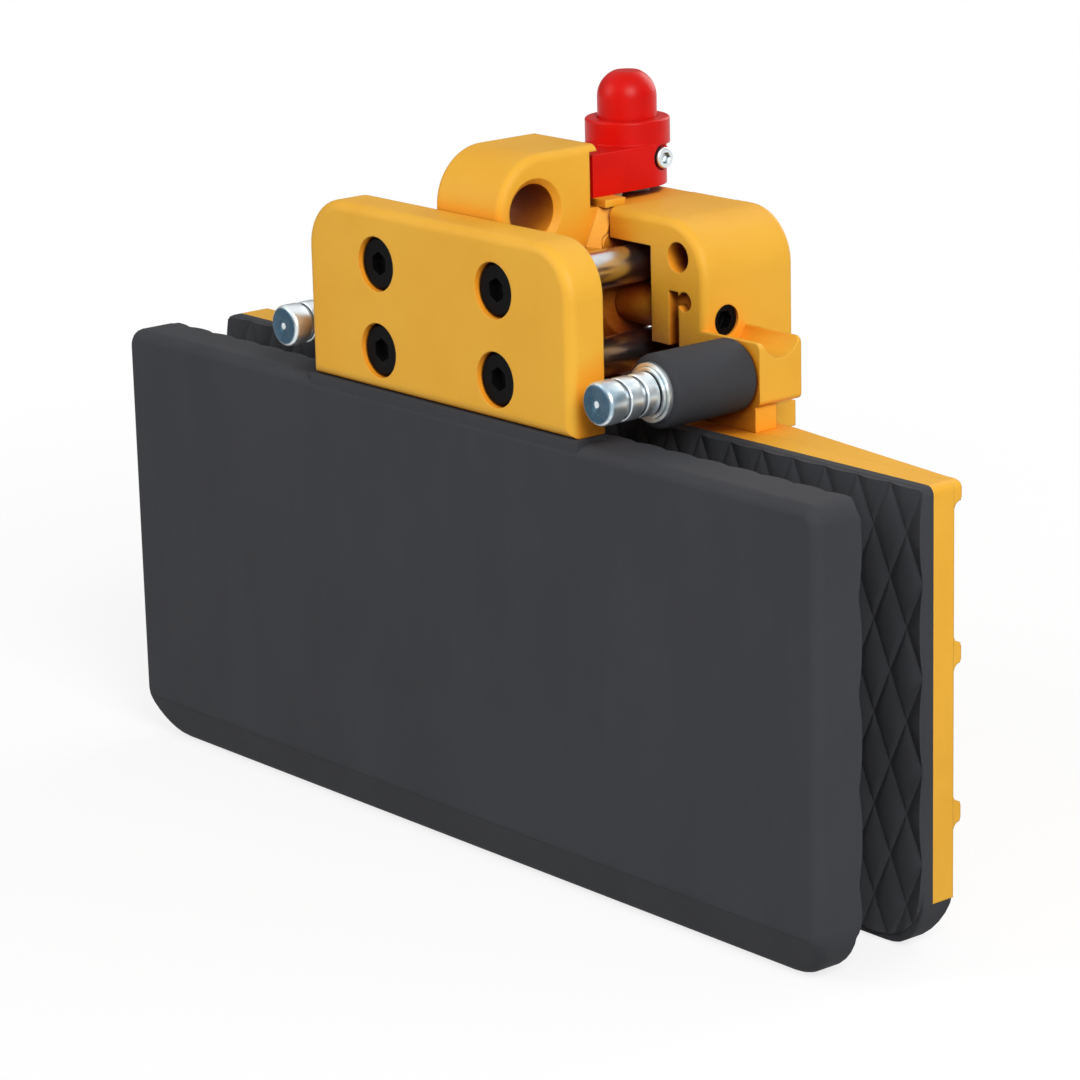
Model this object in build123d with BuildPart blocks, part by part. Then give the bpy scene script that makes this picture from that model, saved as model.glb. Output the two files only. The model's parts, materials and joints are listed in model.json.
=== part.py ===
from build123d import *
from math import cos, pi, radians, sin, sqrt
import os

# Slab lifting clamp. Millimetres, +X along the jaws, +Y from the front jaw to
# the rear jaw, +Z up. The origin is on the floor, in the middle of the clamp.

# Jaws
jaw_length = 500.0
jaw_height = 214.0
open_gap = 34.5
jaw_travel = 20.0
jaw_corner_radius = 25.0
jaw_top_corner_radius = 9.0
foot_chamfer_height = 21.0
foot_chamfer_depth = 8.0
grip_foot_ease = 4.0
rubber_edge_radius = 4.5

# Front jaw: steel core moulded into a rubber cover, with a bolting plate on top
cover_depth = 26.5
cover_skin = 7.0
core_inset = 7.0
core_thickness = 12.0
plate_side_gap = 9.0
plate_height = 86.0
plate_thickness = 19.5
plate_corner_radius = 24.0
plate_edge_radius = 5.0
lip_height = 2.0
lip_margin = 2.5

# Rear jaw: rubber pad on a ribbed plate
rear_jaw_drop = 3.0
rear_corner_radius = 4.0
pad_thickness = 8.0
rear_plate_thickness = 12.5
rear_plate_bottom = 22.5
rib_thickness = 9.0
rib_end_depth = 4.5
rib_mid_depth = 20.0
rib_spacing = 72.5
rib_count = 3
rib_edge_radius = 2.0
rib_root_radius = 4.0
rib_root_width = 3.0
platform_thickness = 12.0
gusset_thickness = 10.0
gusset_foot_depth = 9.0
inner_gusset_x = 60.0

# Carriage: the housing on top of the rear jaw
carriage_lap = 1.5
carriage_width = 190.0
carriage_depth = 56.0
carriage_height = 87.0
carriage_corner_radius = 25.0
carriage_edge_radius = 4.0
back_wall = 24.0
floor_thickness = 9.0
channel_half_width = 59.0
channel_height = 64.0
undercut_half_width = 77.5
undercut_height = 19.5
undercut_depth = 28.0
recess_width = 6.5
recess_height = 45.0
recess_depth = 5.0
pocket_diameter = 9.0
pocket_offset = 4.0
lever_slot_half_width = 31.0
tie_recess = 4.0
tie_recess_half_width = 60.0
jig_hole_diameter = 14.0
jig_hole_depth = 26.0
jig_hole_x = 77.5
jig_hole_drop = 17.0
wing_reach = 131.0
wing_depth = 25.5
wing_height = 29.0
wing_edge_radius = 3.0
neck_depth = 13.0
scoop_radius = 11.5

# Guide shafts, their bushes, screws and rear tie plates
shaft_diameter = 18.0
shaft_spacing_x = 85.0
shaft_spacing_z = 41.0
lower_shaft_rise = 21.0
shaft_end_chamfer = 1.0
bush_outer_diameter = 20.0
running_clearance = 0.05
plate_counterbore_diameter = 26.0
plate_counterbore_depth = 10.0
shaft_screw_head_diameter = 24.0
shaft_screw_head_height = 8.0
shaft_screw_diameter = 12.0
shaft_screw_length = 30.0
shaft_screw_key = 10.0
tie_thickness = 12.0
tie_width = 21.0
tie_margin = 12.0
tie_corner_radius = 6.0
tie_screw_head_diameter = 13.0
tie_screw_head_height = 8.0
tie_screw_diameter = 8.0
tie_screw_length = 18.0
tie_screw_key = 6.0
stop_gap = 0.3
screw_clearance = 0.5
head_chamfer_ratio = 0.1
key_depth_ratio = 0.5

# Lifting lever, its pivot and the draw linkage
lever_swing = 40.0
lug_half_width = 24.0
hub_half_width = 29.5
lug_radius = 26.5
lug_gap = 1.0
lug_edge_radius = 4.0
lug_back_gap = 5.5
lug_lip_length = 4.5
lug_lip_height = 3.0
eye_diameter = 26.0
eye_chamfer = 2.8
eye_rise = 1.0
eye_lead = 2.2
hub_radius = 22.0
hub_flare = 5.0
lug_front_drop = 15.0
chin_back = 20.0
chin_drop = 26.0
throat_back = 36.0
throat_drop = 12.0
fork_headroom = 2.0
tail_drop = 0.5
tail_thickness = 23.0
tail_reach = 39.5
pivot_setback = 13.5
axle_diameter = 14.0
axle_plug_step = 0.25
axle_plug_length = 10.5
axle_plug_key = 8.0
axle_plug_depth = 1.5
axle_gap = 0.5
pivot_bush_outer_diameter = 18.0
spacer_outer_diameter = 20.0
side_gap = 0.3
draw_bar_half_width = 9.0
draw_bar_gap = 0.75
draw_pin_diameter = 14.0
draw_pin_slack = 0.3
draw_eye_radius = 12.5
draw_bar_height = 26.0
draw_bar_drop = 7.0
draw_flange_half_width = 28.0
draw_flange_thickness = 8.0
draw_flange_margin = 4.0
draw_screw_head_diameter = 10.0
draw_screw_head_height = 6.0
draw_screw_diameter = 6.0
draw_screw_length = 18.0
draw_screw_key = 5.0
draw_screw_inset = 8.0

# Lock on the lever's tail
lock_reach = 25.5
lock_half_width = 20.5
lock_block_setback = 3.0
lock_block_length = 10.0
lock_block_height = 20.0
lock_foot_height = 10.0
lock_shoulder = 10.0
lock_lift = 3.5
lock_front_gap = 5.0
lock_edge_radius = 1.2
collar_diameter = 40.0
collar_height = 11.0
knob_diameter = 28.0
knob_height = 22.5
knob_flat_diameter = 12.0
knob_dome_height = 12.0
knob_seat = 6.0
knob_entry = 1.0
knob_gap = 0.3
knob_travel = 4.5
plunger_diameter = 20.0
plunger_fit = 8.0
latch_pin_diameter = 6.0
latch_pin_drop = 7.0
latch_pin_inset = 0.5
latch_hole_gap = 0.3
latch_hole_depth = 6.0
cone_tip_radius = 4.8
cone_rest_radius = 3.0
spring_wire = 0.9
spring_diameter = 5.2
spring_bore = 7.0
spring_turns = 8
spring_well = 7.0
spring_top_length = 15.0
guide_bolt_diameter = 6.0
guide_bolt_back = 4.8
guide_bolt_rise = 13.0
guide_bolt_head = 10.0
guide_bolt_head_height = 4.0
guide_bolt_key = 5.0
guide_bolt_gap = 0.35
guide_bolt_seat = 17.5
guide_boss_diameter = 12.6
guide_nut_height = 5.0
guide_nut_chamfer = 1.2
lock_screw_x = 13.0
lock_screw_first = 6.5
lock_screw_pitch = 11.0
lock_screw_head_diameter = 8.5
lock_screw_head_height = 5.0
lock_screw_diameter = 5.0
lock_screw_length = 14.0
lock_screw_key = 4.0
lock_cap_height = 3.0
lock_spacer_diameter = 10.5
lock_seat_gap = 0.5

# Slab stop bars
stop_bar_inset = 17.0
stop_bar_rise = 22.0
stop_bar_diameter = 20.0
stop_bar_overhang = 2.0
stop_bar_chamfer = 1.5
stop_spigot_diameter = 16.0
stop_spigot_recess = 1.0
groove_first = 10.0
groove_pitch = 9.7
groove_count = 3
groove_width = 1.6
groove_depth = 1.2
sleeve_diameter = 34.0
sleeve_edge_radius = 2.5
sleeve_end_gap = 0.5
stop_washer_diameter = 27.0
stop_washer_thickness = 2.5
ring_diameter = 23.5
ring_opening = 6.0

# Screws that hold the carriage on the rear jaw
base_screw_head_diameter = 18.0
base_screw_head_height = 12.0
base_screw_diameter = 12.0
base_screw_length = 22.0
base_screw_key = 10.0
base_screw_front = 17.0
base_screw_back = 12.0
base_screw_edge = 9.0
base_screw_mid_x = 45.0

# Heights
carriage_floor_z = jaw_height + floor_thickness
carriage_top_z = jaw_height + carriage_height
lower_shaft_z = jaw_height + lower_shaft_rise
upper_shaft_z = lower_shaft_z + shaft_spacing_z
pivot_z = (lower_shaft_z + upper_shaft_z) / 2
plate_bottom_z = jaw_height + lip_height
plate_top_z = plate_bottom_z + plate_height
eye_z = plate_top_z + eye_rise
lug_top_z = eye_z + lug_radius
tail_top_z = carriage_top_z - tail_drop
tail_bottom_z = tail_top_z - tail_thickness
stop_bar_z = jaw_height + stop_bar_rise
rear_top_z = jaw_height - rear_jaw_drop
platform_bottom_z = rear_top_z - platform_thickness
rib_foot_z = rear_top_z - rib_thickness - (rib_count - 1) * rib_spacing
rib_levels = [rib_foot_z + level * rib_spacing for level in range(rib_count)]

# Depths, from the front jaw's outer face to the tie plates at the back
tie_front = (cover_depth + open_gap + pad_thickness + rear_plate_thickness - carriage_lap
             + carriage_depth - tie_recess + stop_gap)
front_y = stop_bar_overhang - (stop_bar_overhang + tie_front + tie_thickness) / 2
cover_back_y = front_y + cover_depth
pad_face_y = cover_back_y + open_gap
pad_back_y = pad_face_y + pad_thickness
rear_plate_back_y = pad_back_y + rear_plate_thickness
carriage_front_y = rear_plate_back_y - carriage_lap
carriage_back_y = carriage_front_y + carriage_depth
back_wall_y = carriage_back_y - back_wall
tie_seat_y = carriage_back_y - tie_recess
tie_front_y = tie_seat_y + stop_gap
tie_back_y = tie_front_y + tie_thickness
plate_back_y = front_y + plate_thickness
wing_back_y = carriage_front_y + wing_depth
stop_bar_front_y = front_y - stop_bar_overhang

# Places along the clamp
stop_bar_x = wing_reach - stop_bar_inset
plate_width = 2 * (stop_bar_x - stop_bar_diameter / 2 - plate_side_gap)
base_screw_side_x = carriage_width / 2 - base_screw_edge

# Lever points
pivot_y = carriage_front_y + pivot_setback
eye_y = cover_back_y + open_gap / 2 - eye_lead
lug_front_y = plate_back_y + lug_gap
lug_back_y = carriage_front_y - lug_back_gap
tail_end_y = pivot_y + tail_reach
lock_y = pivot_y + lock_reach

# The draw pin swings evenly to both sides of the pivot's plumb line, so that the
# jaw's travel stays in step with the lever's angle.
half_swing = radians(lever_swing / 2)
draw_radius = jaw_travel / (2 * sin(half_swing))
draw_pin_y = pivot_y - jaw_travel / 2
draw_pin_z = pivot_z + draw_radius * cos(half_swing)
draw_pin_rise = draw_radius * (1 - cos(half_swing))

draw_bar_top_z = draw_pin_z - draw_bar_drop
draw_bar_bottom_z = draw_bar_top_z - draw_bar_height
draw_flange_height = draw_bar_height + 2 * draw_flange_margin
fork_radius = draw_eye_radius + draw_pin_rise + draw_bar_gap
latch_hole_diameter = latch_pin_diameter + 2 * latch_hole_gap
axle_plug_diameter = axle_diameter + 2 * axle_plug_step
axle_half_length = carriage_width / 2 - axle_plug_depth - axle_plug_length - axle_gap
tie_counterbore_depth = tie_screw_head_height + screw_clearance
draw_flange_back_y = plate_back_y + draw_flange_thickness
draw_screw_places = [
    (x, z)
    for x in (draw_screw_inset - draw_flange_half_width, draw_flange_half_width - draw_screw_inset)
    for z in (
        draw_bar_bottom_z - draw_flange_margin + draw_screw_inset,
        draw_bar_top_z + draw_flange_margin - draw_screw_inset,
    )
]

# Lock points
lock_base_z = tail_top_z + lock_lift
lock_block_top_z = lock_base_z + lock_block_height
collar_top_z = lock_block_top_z + collar_height
lock_foot_top_z = lock_base_z + lock_foot_height
lock_front_y = lug_back_y + lock_front_gap
lock_block_y = lock_y - lock_block_setback
knob_bottom_z = collar_top_z - knob_entry
knob_top_z = knob_bottom_z + knob_height
latch_pin_z = tail_top_z - latch_pin_drop
cone_tip_z = latch_pin_z + cone_tip_radius - cone_rest_radius
cone_top_z = cone_tip_z + plunger_diameter / 2 - cone_tip_radius
plunger_top_z = knob_bottom_z + plunger_fit
spring_floor_z = cone_tip_z - spring_well
spring_top_z = cone_tip_z + spring_top_length
guide_bolt_y = lock_y + guide_bolt_back
guide_bolt_z = lock_base_z + guide_bolt_rise
spring_pitch = (spring_top_z - spring_floor_z - spring_wire) / spring_turns
lock_screw_seat_z = lock_foot_top_z - lock_screw_head_height - screw_clearance
lock_screw_tip_z = lock_screw_seat_z - lock_screw_length
lock_screw_places = [
    (x, lock_front_y + lock_screw_first + row * lock_screw_pitch)
    for x in (-lock_screw_x, lock_screw_x)
    for row in (0, 1)
]
lock_seat_back_y = max(y for x, y in lock_screw_places) - lock_spacer_diameter / 2 - lock_seat_gap
lock_spacer_places = [(x, y) for x, y in lock_screw_places if y > lock_seat_back_y]

shaft_places = [
    ("left", "lower", -shaft_spacing_x / 2, lower_shaft_z),
    ("right", "lower", shaft_spacing_x / 2, lower_shaft_z),
    ("left", "upper", -shaft_spacing_x / 2, upper_shaft_z),
    ("right", "upper", shaft_spacing_x / 2, upper_shaft_z),
]
sides = [("left", -1), ("right", 1)]


def upright(y):
    """Plane across the clamp at depth y: X to the right, Z up, facing the front."""
    return Plane(origin=(0, y, 0), x_dir=(1, 0, 0), z_dir=(0, -1, 0))


def sideways(x):
    """Plane along the clamp's depth at x: Y to the right, Z up, facing the right end."""
    return Plane(origin=(x, 0, 0), x_dir=(0, 1, 0), z_dir=(1, 0, 0))


def facing(x, y, z, direction):
    """Plane at a point whose normal points along the direction."""
    return Plane(origin=(x, y, z), z_dir=direction)


def save(part, name):
    """Label a finished piece and write it to its own file."""
    part.label = name
    export_step(part, f"parts/{name}.step")


def socket_screw(head_diameter, head_height, shank_diameter, shank_length, key):
    """Socket screw along Z, with the underside of its head at the origin."""
    with BuildPart() as screw:
        with BuildSketch(Plane.XY):
            Circle(head_diameter / 2)
        extrude(amount=head_height)
        chamfer(screw.edges().group_by(Axis.Z)[-1], head_height * head_chamfer_ratio)
        with BuildSketch(Plane.XY.offset(head_height)):
            RegularPolygon(key / 2, 6, major_radius=False)
        extrude(amount=-head_height * key_depth_ratio, mode=Mode.SUBTRACT)
        with BuildSketch(Plane.XY):
            Circle(shank_diameter / 2)
        extrude(amount=-shank_length)
    return screw.part


def tube(outer_diameter, bore_diameter, length):
    """Plain tube along Z, starting at the origin."""
    with BuildPart() as ring:
        with BuildSketch(Plane.XY):
            Circle(outer_diameter / 2)
            Circle(bore_diameter / 2, mode=Mode.SUBTRACT)
        extrude(amount=length)
    return ring.part


def jaw_outline(bottom, bottom_radius, top, top_radius):
    """Sketch the outline of a jaw from a lower edge up to its top."""
    with Locations((0, (bottom + top) / 2)):
        Rectangle(jaw_length, top - bottom)
    fillet(vertices().group_by(Axis.Y)[-1], top_radius)
    if bottom_radius > 0:
        fillet(vertices().group_by(Axis.Y)[0], bottom_radius)


def jaw_rib():
    """Tapered rib of the rear jaw with rounded roots, its lower face on the origin's level."""
    with BuildPart() as rib:
        with BuildSketch(Plane.XY):
            with BuildLine():
                Polyline(
                    (-jaw_length / 2, rear_plate_back_y),
                    (-jaw_length / 2, rear_plate_back_y + rib_end_depth),
                    (-wing_reach, rear_plate_back_y + rib_mid_depth),
                    (wing_reach, rear_plate_back_y + rib_mid_depth),
                    (jaw_length / 2, rear_plate_back_y + rib_end_depth),
                    (jaw_length / 2, rear_plate_back_y),
                    close=True,
                )
            make_face()
        extrude(amount=rib_thickness)
        end_back_y = rear_plate_back_y + rib_end_depth
        tips = rib.edges().filter_by_position(Axis.Y, end_back_y, carriage_back_y)
        fillet([edge for edge in tips if edge.length > rib_thickness], rib_edge_radius)
        with BuildSketch(sideways(0)):
            with Locations((rear_plate_back_y + rib_root_radius / 2, rib_thickness / 2)):
                Rectangle(rib_root_radius, rib_thickness + 2 * rib_root_width)
            with Locations(
                (rear_plate_back_y + rib_root_radius, -rib_root_radius),
                (rear_plate_back_y + rib_root_radius, rib_thickness + rib_root_radius),
            ):
                Circle(rib_root_radius, mode=Mode.SUBTRACT)
        extrude(amount=jaw_length / 2, both=True)
    return rib.part


def jaw_gusset(reach, top):
    """Upright gusset of the rear jaw in the middle plane, from the lowest rib up to its top."""
    with BuildPart() as gusset:
        with BuildSketch(sideways(0)):
            with BuildLine():
                Polyline(
                    (rear_plate_back_y, rib_foot_z),
                    (rear_plate_back_y + gusset_foot_depth, rib_foot_z),
                    (rear_plate_back_y + reach, top),
                    (rear_plate_back_y, top),
                    close=True,
                )
            make_face()
        extrude(amount=gusset_thickness / 2, both=True)
        foot_back_y = rear_plate_back_y + gusset_foot_depth
        tips = gusset.edges().filter_by_position(Axis.Y, foot_back_y, carriage_back_y)
        fillet([edge for edge in tips if edge.length > gusset_thickness], rib_edge_radius)
    return gusset.part


os.makedirs("parts", exist_ok=True)

# Front jaw plate: the core and the plate that the shafts are bolted to
with BuildPart() as front_jaw_plate:
    with BuildSketch(upright(front_y + core_inset + core_thickness)):
        with Locations((0, jaw_height / 2)):
            core = Rectangle(jaw_length - 2 * cover_skin, jaw_height - 2 * cover_skin)
        fillet(core.vertices().group_by(Axis.Y)[0], jaw_corner_radius - cover_skin)
        with Locations((0, jaw_height - cover_skin)):
            Rectangle(plate_width - 2 * plate_edge_radius, 2 * cover_skin + 2 * lip_height)
    extrude(amount=core_thickness)
    with BuildSketch(upright(plate_back_y)):
        with Locations((0, (plate_bottom_z + plate_top_z) / 2)):
            plate = Rectangle(plate_width, plate_height)
        fillet(plate.vertices().group_by(Axis.Y)[-1], plate_corner_radius)
    extrude(amount=plate_thickness)
    front_face = front_jaw_plate.faces().sort_by(Axis.Y)[0]
    fillet(front_face.edges(), plate_edge_radius)
    with Locations(*[facing(x, front_y, z, (0, -1, 0)) for side, level, x, z in shaft_places]):
        CounterBoreHole(
            (shaft_screw_diameter + screw_clearance) / 2,
            plate_counterbore_diameter / 2,
            plate_counterbore_depth,
            plate_thickness,
        )
    with Locations(*[facing(x, plate_back_y, z, (0, 1, 0)) for x, z in draw_screw_places]):
        Hole(
            (draw_screw_diameter + screw_clearance) / 2,
            draw_screw_length - draw_flange_thickness + screw_clearance,
        )
save(front_jaw_plate.part, "front_jaw_plate")

# Front jaw cover: rubber moulded round the core, up to the bolting plate
with BuildPart() as front_jaw_cover:
    with BuildSketch(sideways(0)) as cover_section:
        with BuildLine():
            Polyline(
                (front_y, foot_chamfer_height),
                (front_y, jaw_height),
                (cover_back_y, jaw_height),
                (cover_back_y, grip_foot_ease),
                (cover_back_y - grip_foot_ease, 0),
                (front_y + foot_chamfer_depth, 0),
                close=True,
            )
        make_face()
        fillet(cover_section.vertices().group_by(Axis.Y)[-1], rubber_edge_radius)
    extrude(amount=jaw_length / 2, both=True)
    with BuildSketch(upright(cover_back_y)):
        jaw_outline(0, jaw_corner_radius, jaw_height, jaw_top_corner_radius)
    extrude(amount=cover_depth, mode=Mode.INTERSECT)
    with BuildSketch(Plane.XY.offset(jaw_height - rubber_edge_radius)):
        with Locations((0, front_y + plate_thickness / 2)):
            Rectangle(plate_width + 2 * lip_margin, plate_thickness)
    extrude(amount=rubber_edge_radius + lip_height)
    add(front_jaw_plate.part, mode=Mode.SUBTRACT)
save(front_jaw_cover.part, "front_jaw_cover")

# Rear jaw pad: rubber on the grip side, wrapped under the plate's lower edge
with BuildPart() as rear_jaw_pad:
    with BuildSketch(sideways(0)) as pad_section:
        with BuildLine():
            Polyline(
                (pad_face_y, grip_foot_ease),
                (pad_face_y, rear_top_z),
                (pad_back_y, rear_top_z),
                (pad_back_y, rear_plate_bottom),
                (rear_plate_back_y, rear_plate_bottom),
                (rear_plate_back_y, foot_chamfer_height),
                (rear_plate_back_y - foot_chamfer_depth, 0),
                (pad_face_y + grip_foot_ease, 0),
                close=True,
            )
        make_face()
        fillet(pad_section.vertices().group_by(Axis.Y)[-1].sort_by(Axis.X)[0], rubber_edge_radius)
    extrude(amount=jaw_length / 2, both=True)
    with BuildSketch(upright(rear_plate_back_y)):
        jaw_outline(0, jaw_corner_radius, rear_top_z, rear_corner_radius)
    extrude(amount=pad_thickness + rear_plate_thickness, mode=Mode.INTERSECT)
save(rear_jaw_pad.part, "rear_jaw_pad")

# Rear jaw plate behind the pad
with BuildPart() as rear_jaw_plate:
    with BuildSketch(upright(rear_plate_back_y)):
        jaw_outline(rear_plate_bottom, 0, rear_top_z, rear_corner_radius)
    extrude(amount=rear_plate_thickness)
save(rear_jaw_plate.part, "rear_jaw_plate")

# Lower ribs of the rear jaw
with BuildPart() as rear_jaw_ribs:
    with Locations(*[(0, 0, rib_z) for rib_z in rib_levels[:-1]]):
        add(jaw_rib())
save(rear_jaw_ribs.part, "rear_jaw_ribs")

# Rear jaw platform: the top rib with the seat of the carriage
base_screw_places = [
    (side * x, y)
    for name, side in sides
    for x, y in (
        (base_screw_side_x, carriage_front_y + base_screw_front),
        (base_screw_side_x, carriage_back_y - base_screw_back),
        (base_screw_mid_x, carriage_back_y - base_screw_back),
    )
]
with BuildPart() as rear_jaw_platform:
    with Locations((0, 0, rib_levels[-1])):
        add(jaw_rib())
    with BuildSketch(Plane.XY.offset(platform_bottom_z)):
        with Locations((0, (rear_plate_back_y + carriage_back_y) / 2)):
            Rectangle(carriage_width, carriage_back_y - rear_plate_back_y)
    extrude(amount=platform_thickness)
    with BuildSketch(upright(carriage_back_y)):
        jaw_outline(rear_plate_bottom, 0, rear_top_z, rear_corner_radius)
    extrude(amount=carriage_back_y - rear_plate_back_y, mode=Mode.INTERSECT)
    with Locations(*[(x, y, rear_top_z) for x, y in base_screw_places]):
        Hole((base_screw_diameter + screw_clearance) / 2, platform_thickness)
save(rear_jaw_platform.part, "rear_jaw_platform")

# Rear jaw gussets, notched for the ribs
inner_gusset_reach = carriage_back_y - rear_plate_back_y - gusset_foot_depth
outer_gusset_x = wing_reach - gusset_thickness / 2
with BuildPart() as rear_jaw_gussets:
    with Locations((-inner_gusset_x, 0, 0), (inner_gusset_x, 0, 0)):
        add(jaw_gusset(inner_gusset_reach, platform_bottom_z))
    with Locations((-outer_gusset_x, 0, 0), (outer_gusset_x, 0, 0)):
        add(jaw_gusset(rib_mid_depth, rib_levels[-1]))
    add(rear_jaw_ribs.part, mode=Mode.SUBTRACT)
    add(rear_jaw_platform.part, mode=Mode.SUBTRACT)
save(rear_jaw_gussets.part, "rear_jaw_gussets")

# Carriage: housing with wings, lever slot, shaft channel and bores
with BuildPart() as carriage:
    with BuildSketch(upright(carriage_back_y)):
        with Locations((0, (rear_top_z + carriage_top_z) / 2)):
            housing = Rectangle(carriage_width, carriage_top_z - rear_top_z)
        fillet(housing.vertices().group_by(Axis.Y)[-1], carriage_corner_radius)
    extrude(amount=carriage_depth)
    for end in (0, -1):
        rim = carriage.faces().sort_by(Axis.Y)[end].edges()
        rim = rim.filter_by_position(Axis.Z, jaw_height + rib_thickness, carriage_top_z)
        fillet(rim, carriage_edge_radius)
    with BuildSketch(upright(wing_back_y)):
        with Locations((0, carriage_floor_z + wing_height / 2)):
            RectangleRounded(2 * wing_reach, wing_height, wing_edge_radius)
    extrude(amount=wing_depth)
    with BuildSketch(upright(carriage_front_y + neck_depth)):
        with Locations((0, (rear_top_z + carriage_floor_z + wing_edge_radius) / 2)):
            Rectangle(2 * (wing_reach - wing_edge_radius), carriage_floor_z + wing_edge_radius - rear_top_z)
    extrude(amount=neck_depth)

    # Channel for the shafts, with its undercut and recesses
    with BuildSketch(upright(back_wall_y)):
        with Locations((0, carriage_floor_z + channel_height / 2)):
            Rectangle(2 * channel_half_width, channel_height)
    extrude(amount=back_wall_y - carriage_front_y, mode=Mode.SUBTRACT)
    with BuildSketch(upright(carriage_front_y + undercut_depth)):
        with Locations((0, carriage_floor_z + undercut_height / 2)):
            Rectangle(2 * undercut_half_width, undercut_height)
    extrude(amount=undercut_depth, mode=Mode.SUBTRACT)
    with BuildSketch(upright(carriage_front_y + recess_depth)):
        for name, side in sides:
            recess_x = side * (undercut_half_width - recess_width / 2)
            with Locations((recess_x, carriage_floor_z + recess_height / 2)):
                Rectangle(recess_width, recess_height)
            pocket_x = side * (undercut_half_width + pocket_offset)
            with Locations((pocket_x, carriage_floor_z + recess_height - pocket_offset)):
                Circle(pocket_diameter / 2)
    extrude(amount=recess_depth, mode=Mode.SUBTRACT)
    with BuildSketch(upright(carriage_front_y + jig_hole_depth)):
        for name, side in sides:
            with Locations((side * jig_hole_x, carriage_top_z - jig_hole_drop)):
                Circle(jig_hole_diameter / 2)
    extrude(amount=jig_hole_depth, mode=Mode.SUBTRACT)

    # Slot that the lever swings through, and the seats of the tie plates
    with BuildSketch(upright(carriage_back_y)):
        with Locations((0, (carriage_floor_z + carriage_top_z) / 2)):
            Rectangle(2 * lever_slot_half_width, carriage_top_z - carriage_floor_z)
    extrude(amount=carriage_depth, mode=Mode.SUBTRACT)
    with BuildSketch(upright(carriage_back_y)):
        with Locations((0, (carriage_floor_z + carriage_top_z) / 2)):
            Rectangle(2 * tie_recess_half_width, carriage_top_z - carriage_floor_z)
    extrude(amount=tie_recess, mode=Mode.SUBTRACT)
    with BuildSketch(upright(carriage_back_y)):
        with Locations(*[(x, z) for side, level, x, z in shaft_places]):
            Circle(bush_outer_diameter / 2)
    extrude(amount=back_wall, mode=Mode.SUBTRACT)

    # Bores along the clamp: pivot axle, its plugs and the latch pins
    for diameter, start, end, y, z in (
        (axle_diameter, 0, axle_half_length + axle_gap, pivot_y, pivot_z),
        (axle_plug_diameter, axle_half_length + axle_gap, carriage_width / 2, pivot_y, pivot_z),
        (2 * scoop_radius, carriage_width / 2, wing_reach, pivot_y, pivot_z),
        (latch_hole_diameter, 0, lever_slot_half_width + latch_hole_depth, lock_y, latch_pin_z),
    ):
        for name, side in sides:
            with BuildSketch(sideways(side * start)):
                with Locations((y, z)):
                    Circle(diameter / 2)
            extrude(amount=side * (end - start), mode=Mode.SUBTRACT)

    # Holes for the stop bars and for the screws from below
    with BuildSketch(upright(wing_back_y)):
        with Locations((-stop_bar_x, stop_bar_z), (stop_bar_x, stop_bar_z)):
            Circle(stop_spigot_diameter / 2)
    extrude(amount=wing_depth, mode=Mode.SUBTRACT)
    with BuildSketch(Plane.XY.offset(rear_top_z)):
        with Locations(*base_screw_places):
            Circle((base_screw_diameter + screw_clearance) / 2)
    extrude(amount=base_screw_length - platform_thickness + screw_clearance, mode=Mode.SUBTRACT)
save(carriage.part, "carriage")

base_screw = socket_screw(
    base_screw_head_diameter, base_screw_head_height, base_screw_diameter, base_screw_length, base_screw_key
)
with BuildPart() as carriage_screws:
    with Locations(*[facing(x, y, platform_bottom_z, (0, 0, -1)) for x, y in base_screw_places]):
        add(base_screw)
save(carriage_screws.part, "carriage_screws")

# Guide bushes in the carriage's back wall
guide_bush = tube(bush_outer_diameter, shaft_diameter + 2 * running_clearance, tie_seat_y - back_wall_y)
with BuildPart() as guide_bushes:
    with Locations(*[facing(x, back_wall_y, z, (0, 1, 0)) for side, level, x, z in shaft_places]):
        add(guide_bush)
save(guide_bushes.part, "guide_bushes")

# Guide shafts, tapped at both ends
for side, level, x, z in shaft_places:
    with BuildPart() as guide_shaft:
        with BuildSketch(upright(tie_front_y)):
            with Locations((x, z)):
                Circle(shaft_diameter / 2)
        extrude(amount=tie_front_y - plate_back_y)
        chamfer(guide_shaft.edges().group_by(Axis.Y)[-1], shaft_end_chamfer)
        with Locations(facing(x, plate_back_y, z, (0, -1, 0))):
            Hole(
                (shaft_screw_diameter + screw_clearance) / 2,
                shaft_screw_length + plate_counterbore_depth - plate_thickness + screw_clearance,
            )
        with Locations(facing(x, tie_front_y, z, (0, 1, 0))):
            Hole(
                (tie_screw_diameter + screw_clearance) / 2,
                tie_screw_length + tie_counterbore_depth - tie_thickness + screw_clearance,
            )
    save(guide_shaft.part, f"guide_shaft_{level}_{side}")

shaft_screw = socket_screw(
    shaft_screw_head_diameter,
    shaft_screw_head_height,
    shaft_screw_diameter,
    shaft_screw_length,
    shaft_screw_key,
)
with BuildPart() as shaft_screws:
    with Locations(
        *[facing(x, front_y + plate_counterbore_depth, z, (0, -1, 0)) for side, level, x, z in shaft_places]
    ):
        add(shaft_screw)
save(shaft_screws.part, "shaft_screws")

# Tie plates that join an upper and a lower shaft behind the carriage
for name, side in sides:
    with BuildPart() as tie_plate:
        with BuildSketch(upright(tie_back_y)):
            with Locations((side * shaft_spacing_x / 2, pivot_z)):
                RectangleRounded(tie_width, shaft_spacing_z + 2 * tie_margin, tie_corner_radius)
        extrude(amount=tie_thickness)
        with Locations(
            *[
                facing(side * shaft_spacing_x / 2, tie_back_y, z, (0, 1, 0))
                for z in (lower_shaft_z, upper_shaft_z)
            ]
        ):
            CounterBoreHole(
                (tie_screw_diameter + screw_clearance) / 2,
                (tie_screw_head_diameter + 2 * screw_clearance) / 2,
                tie_counterbore_depth,
                tie_thickness,
            )
    save(tie_plate.part, f"{name}_tie_plate")

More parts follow.
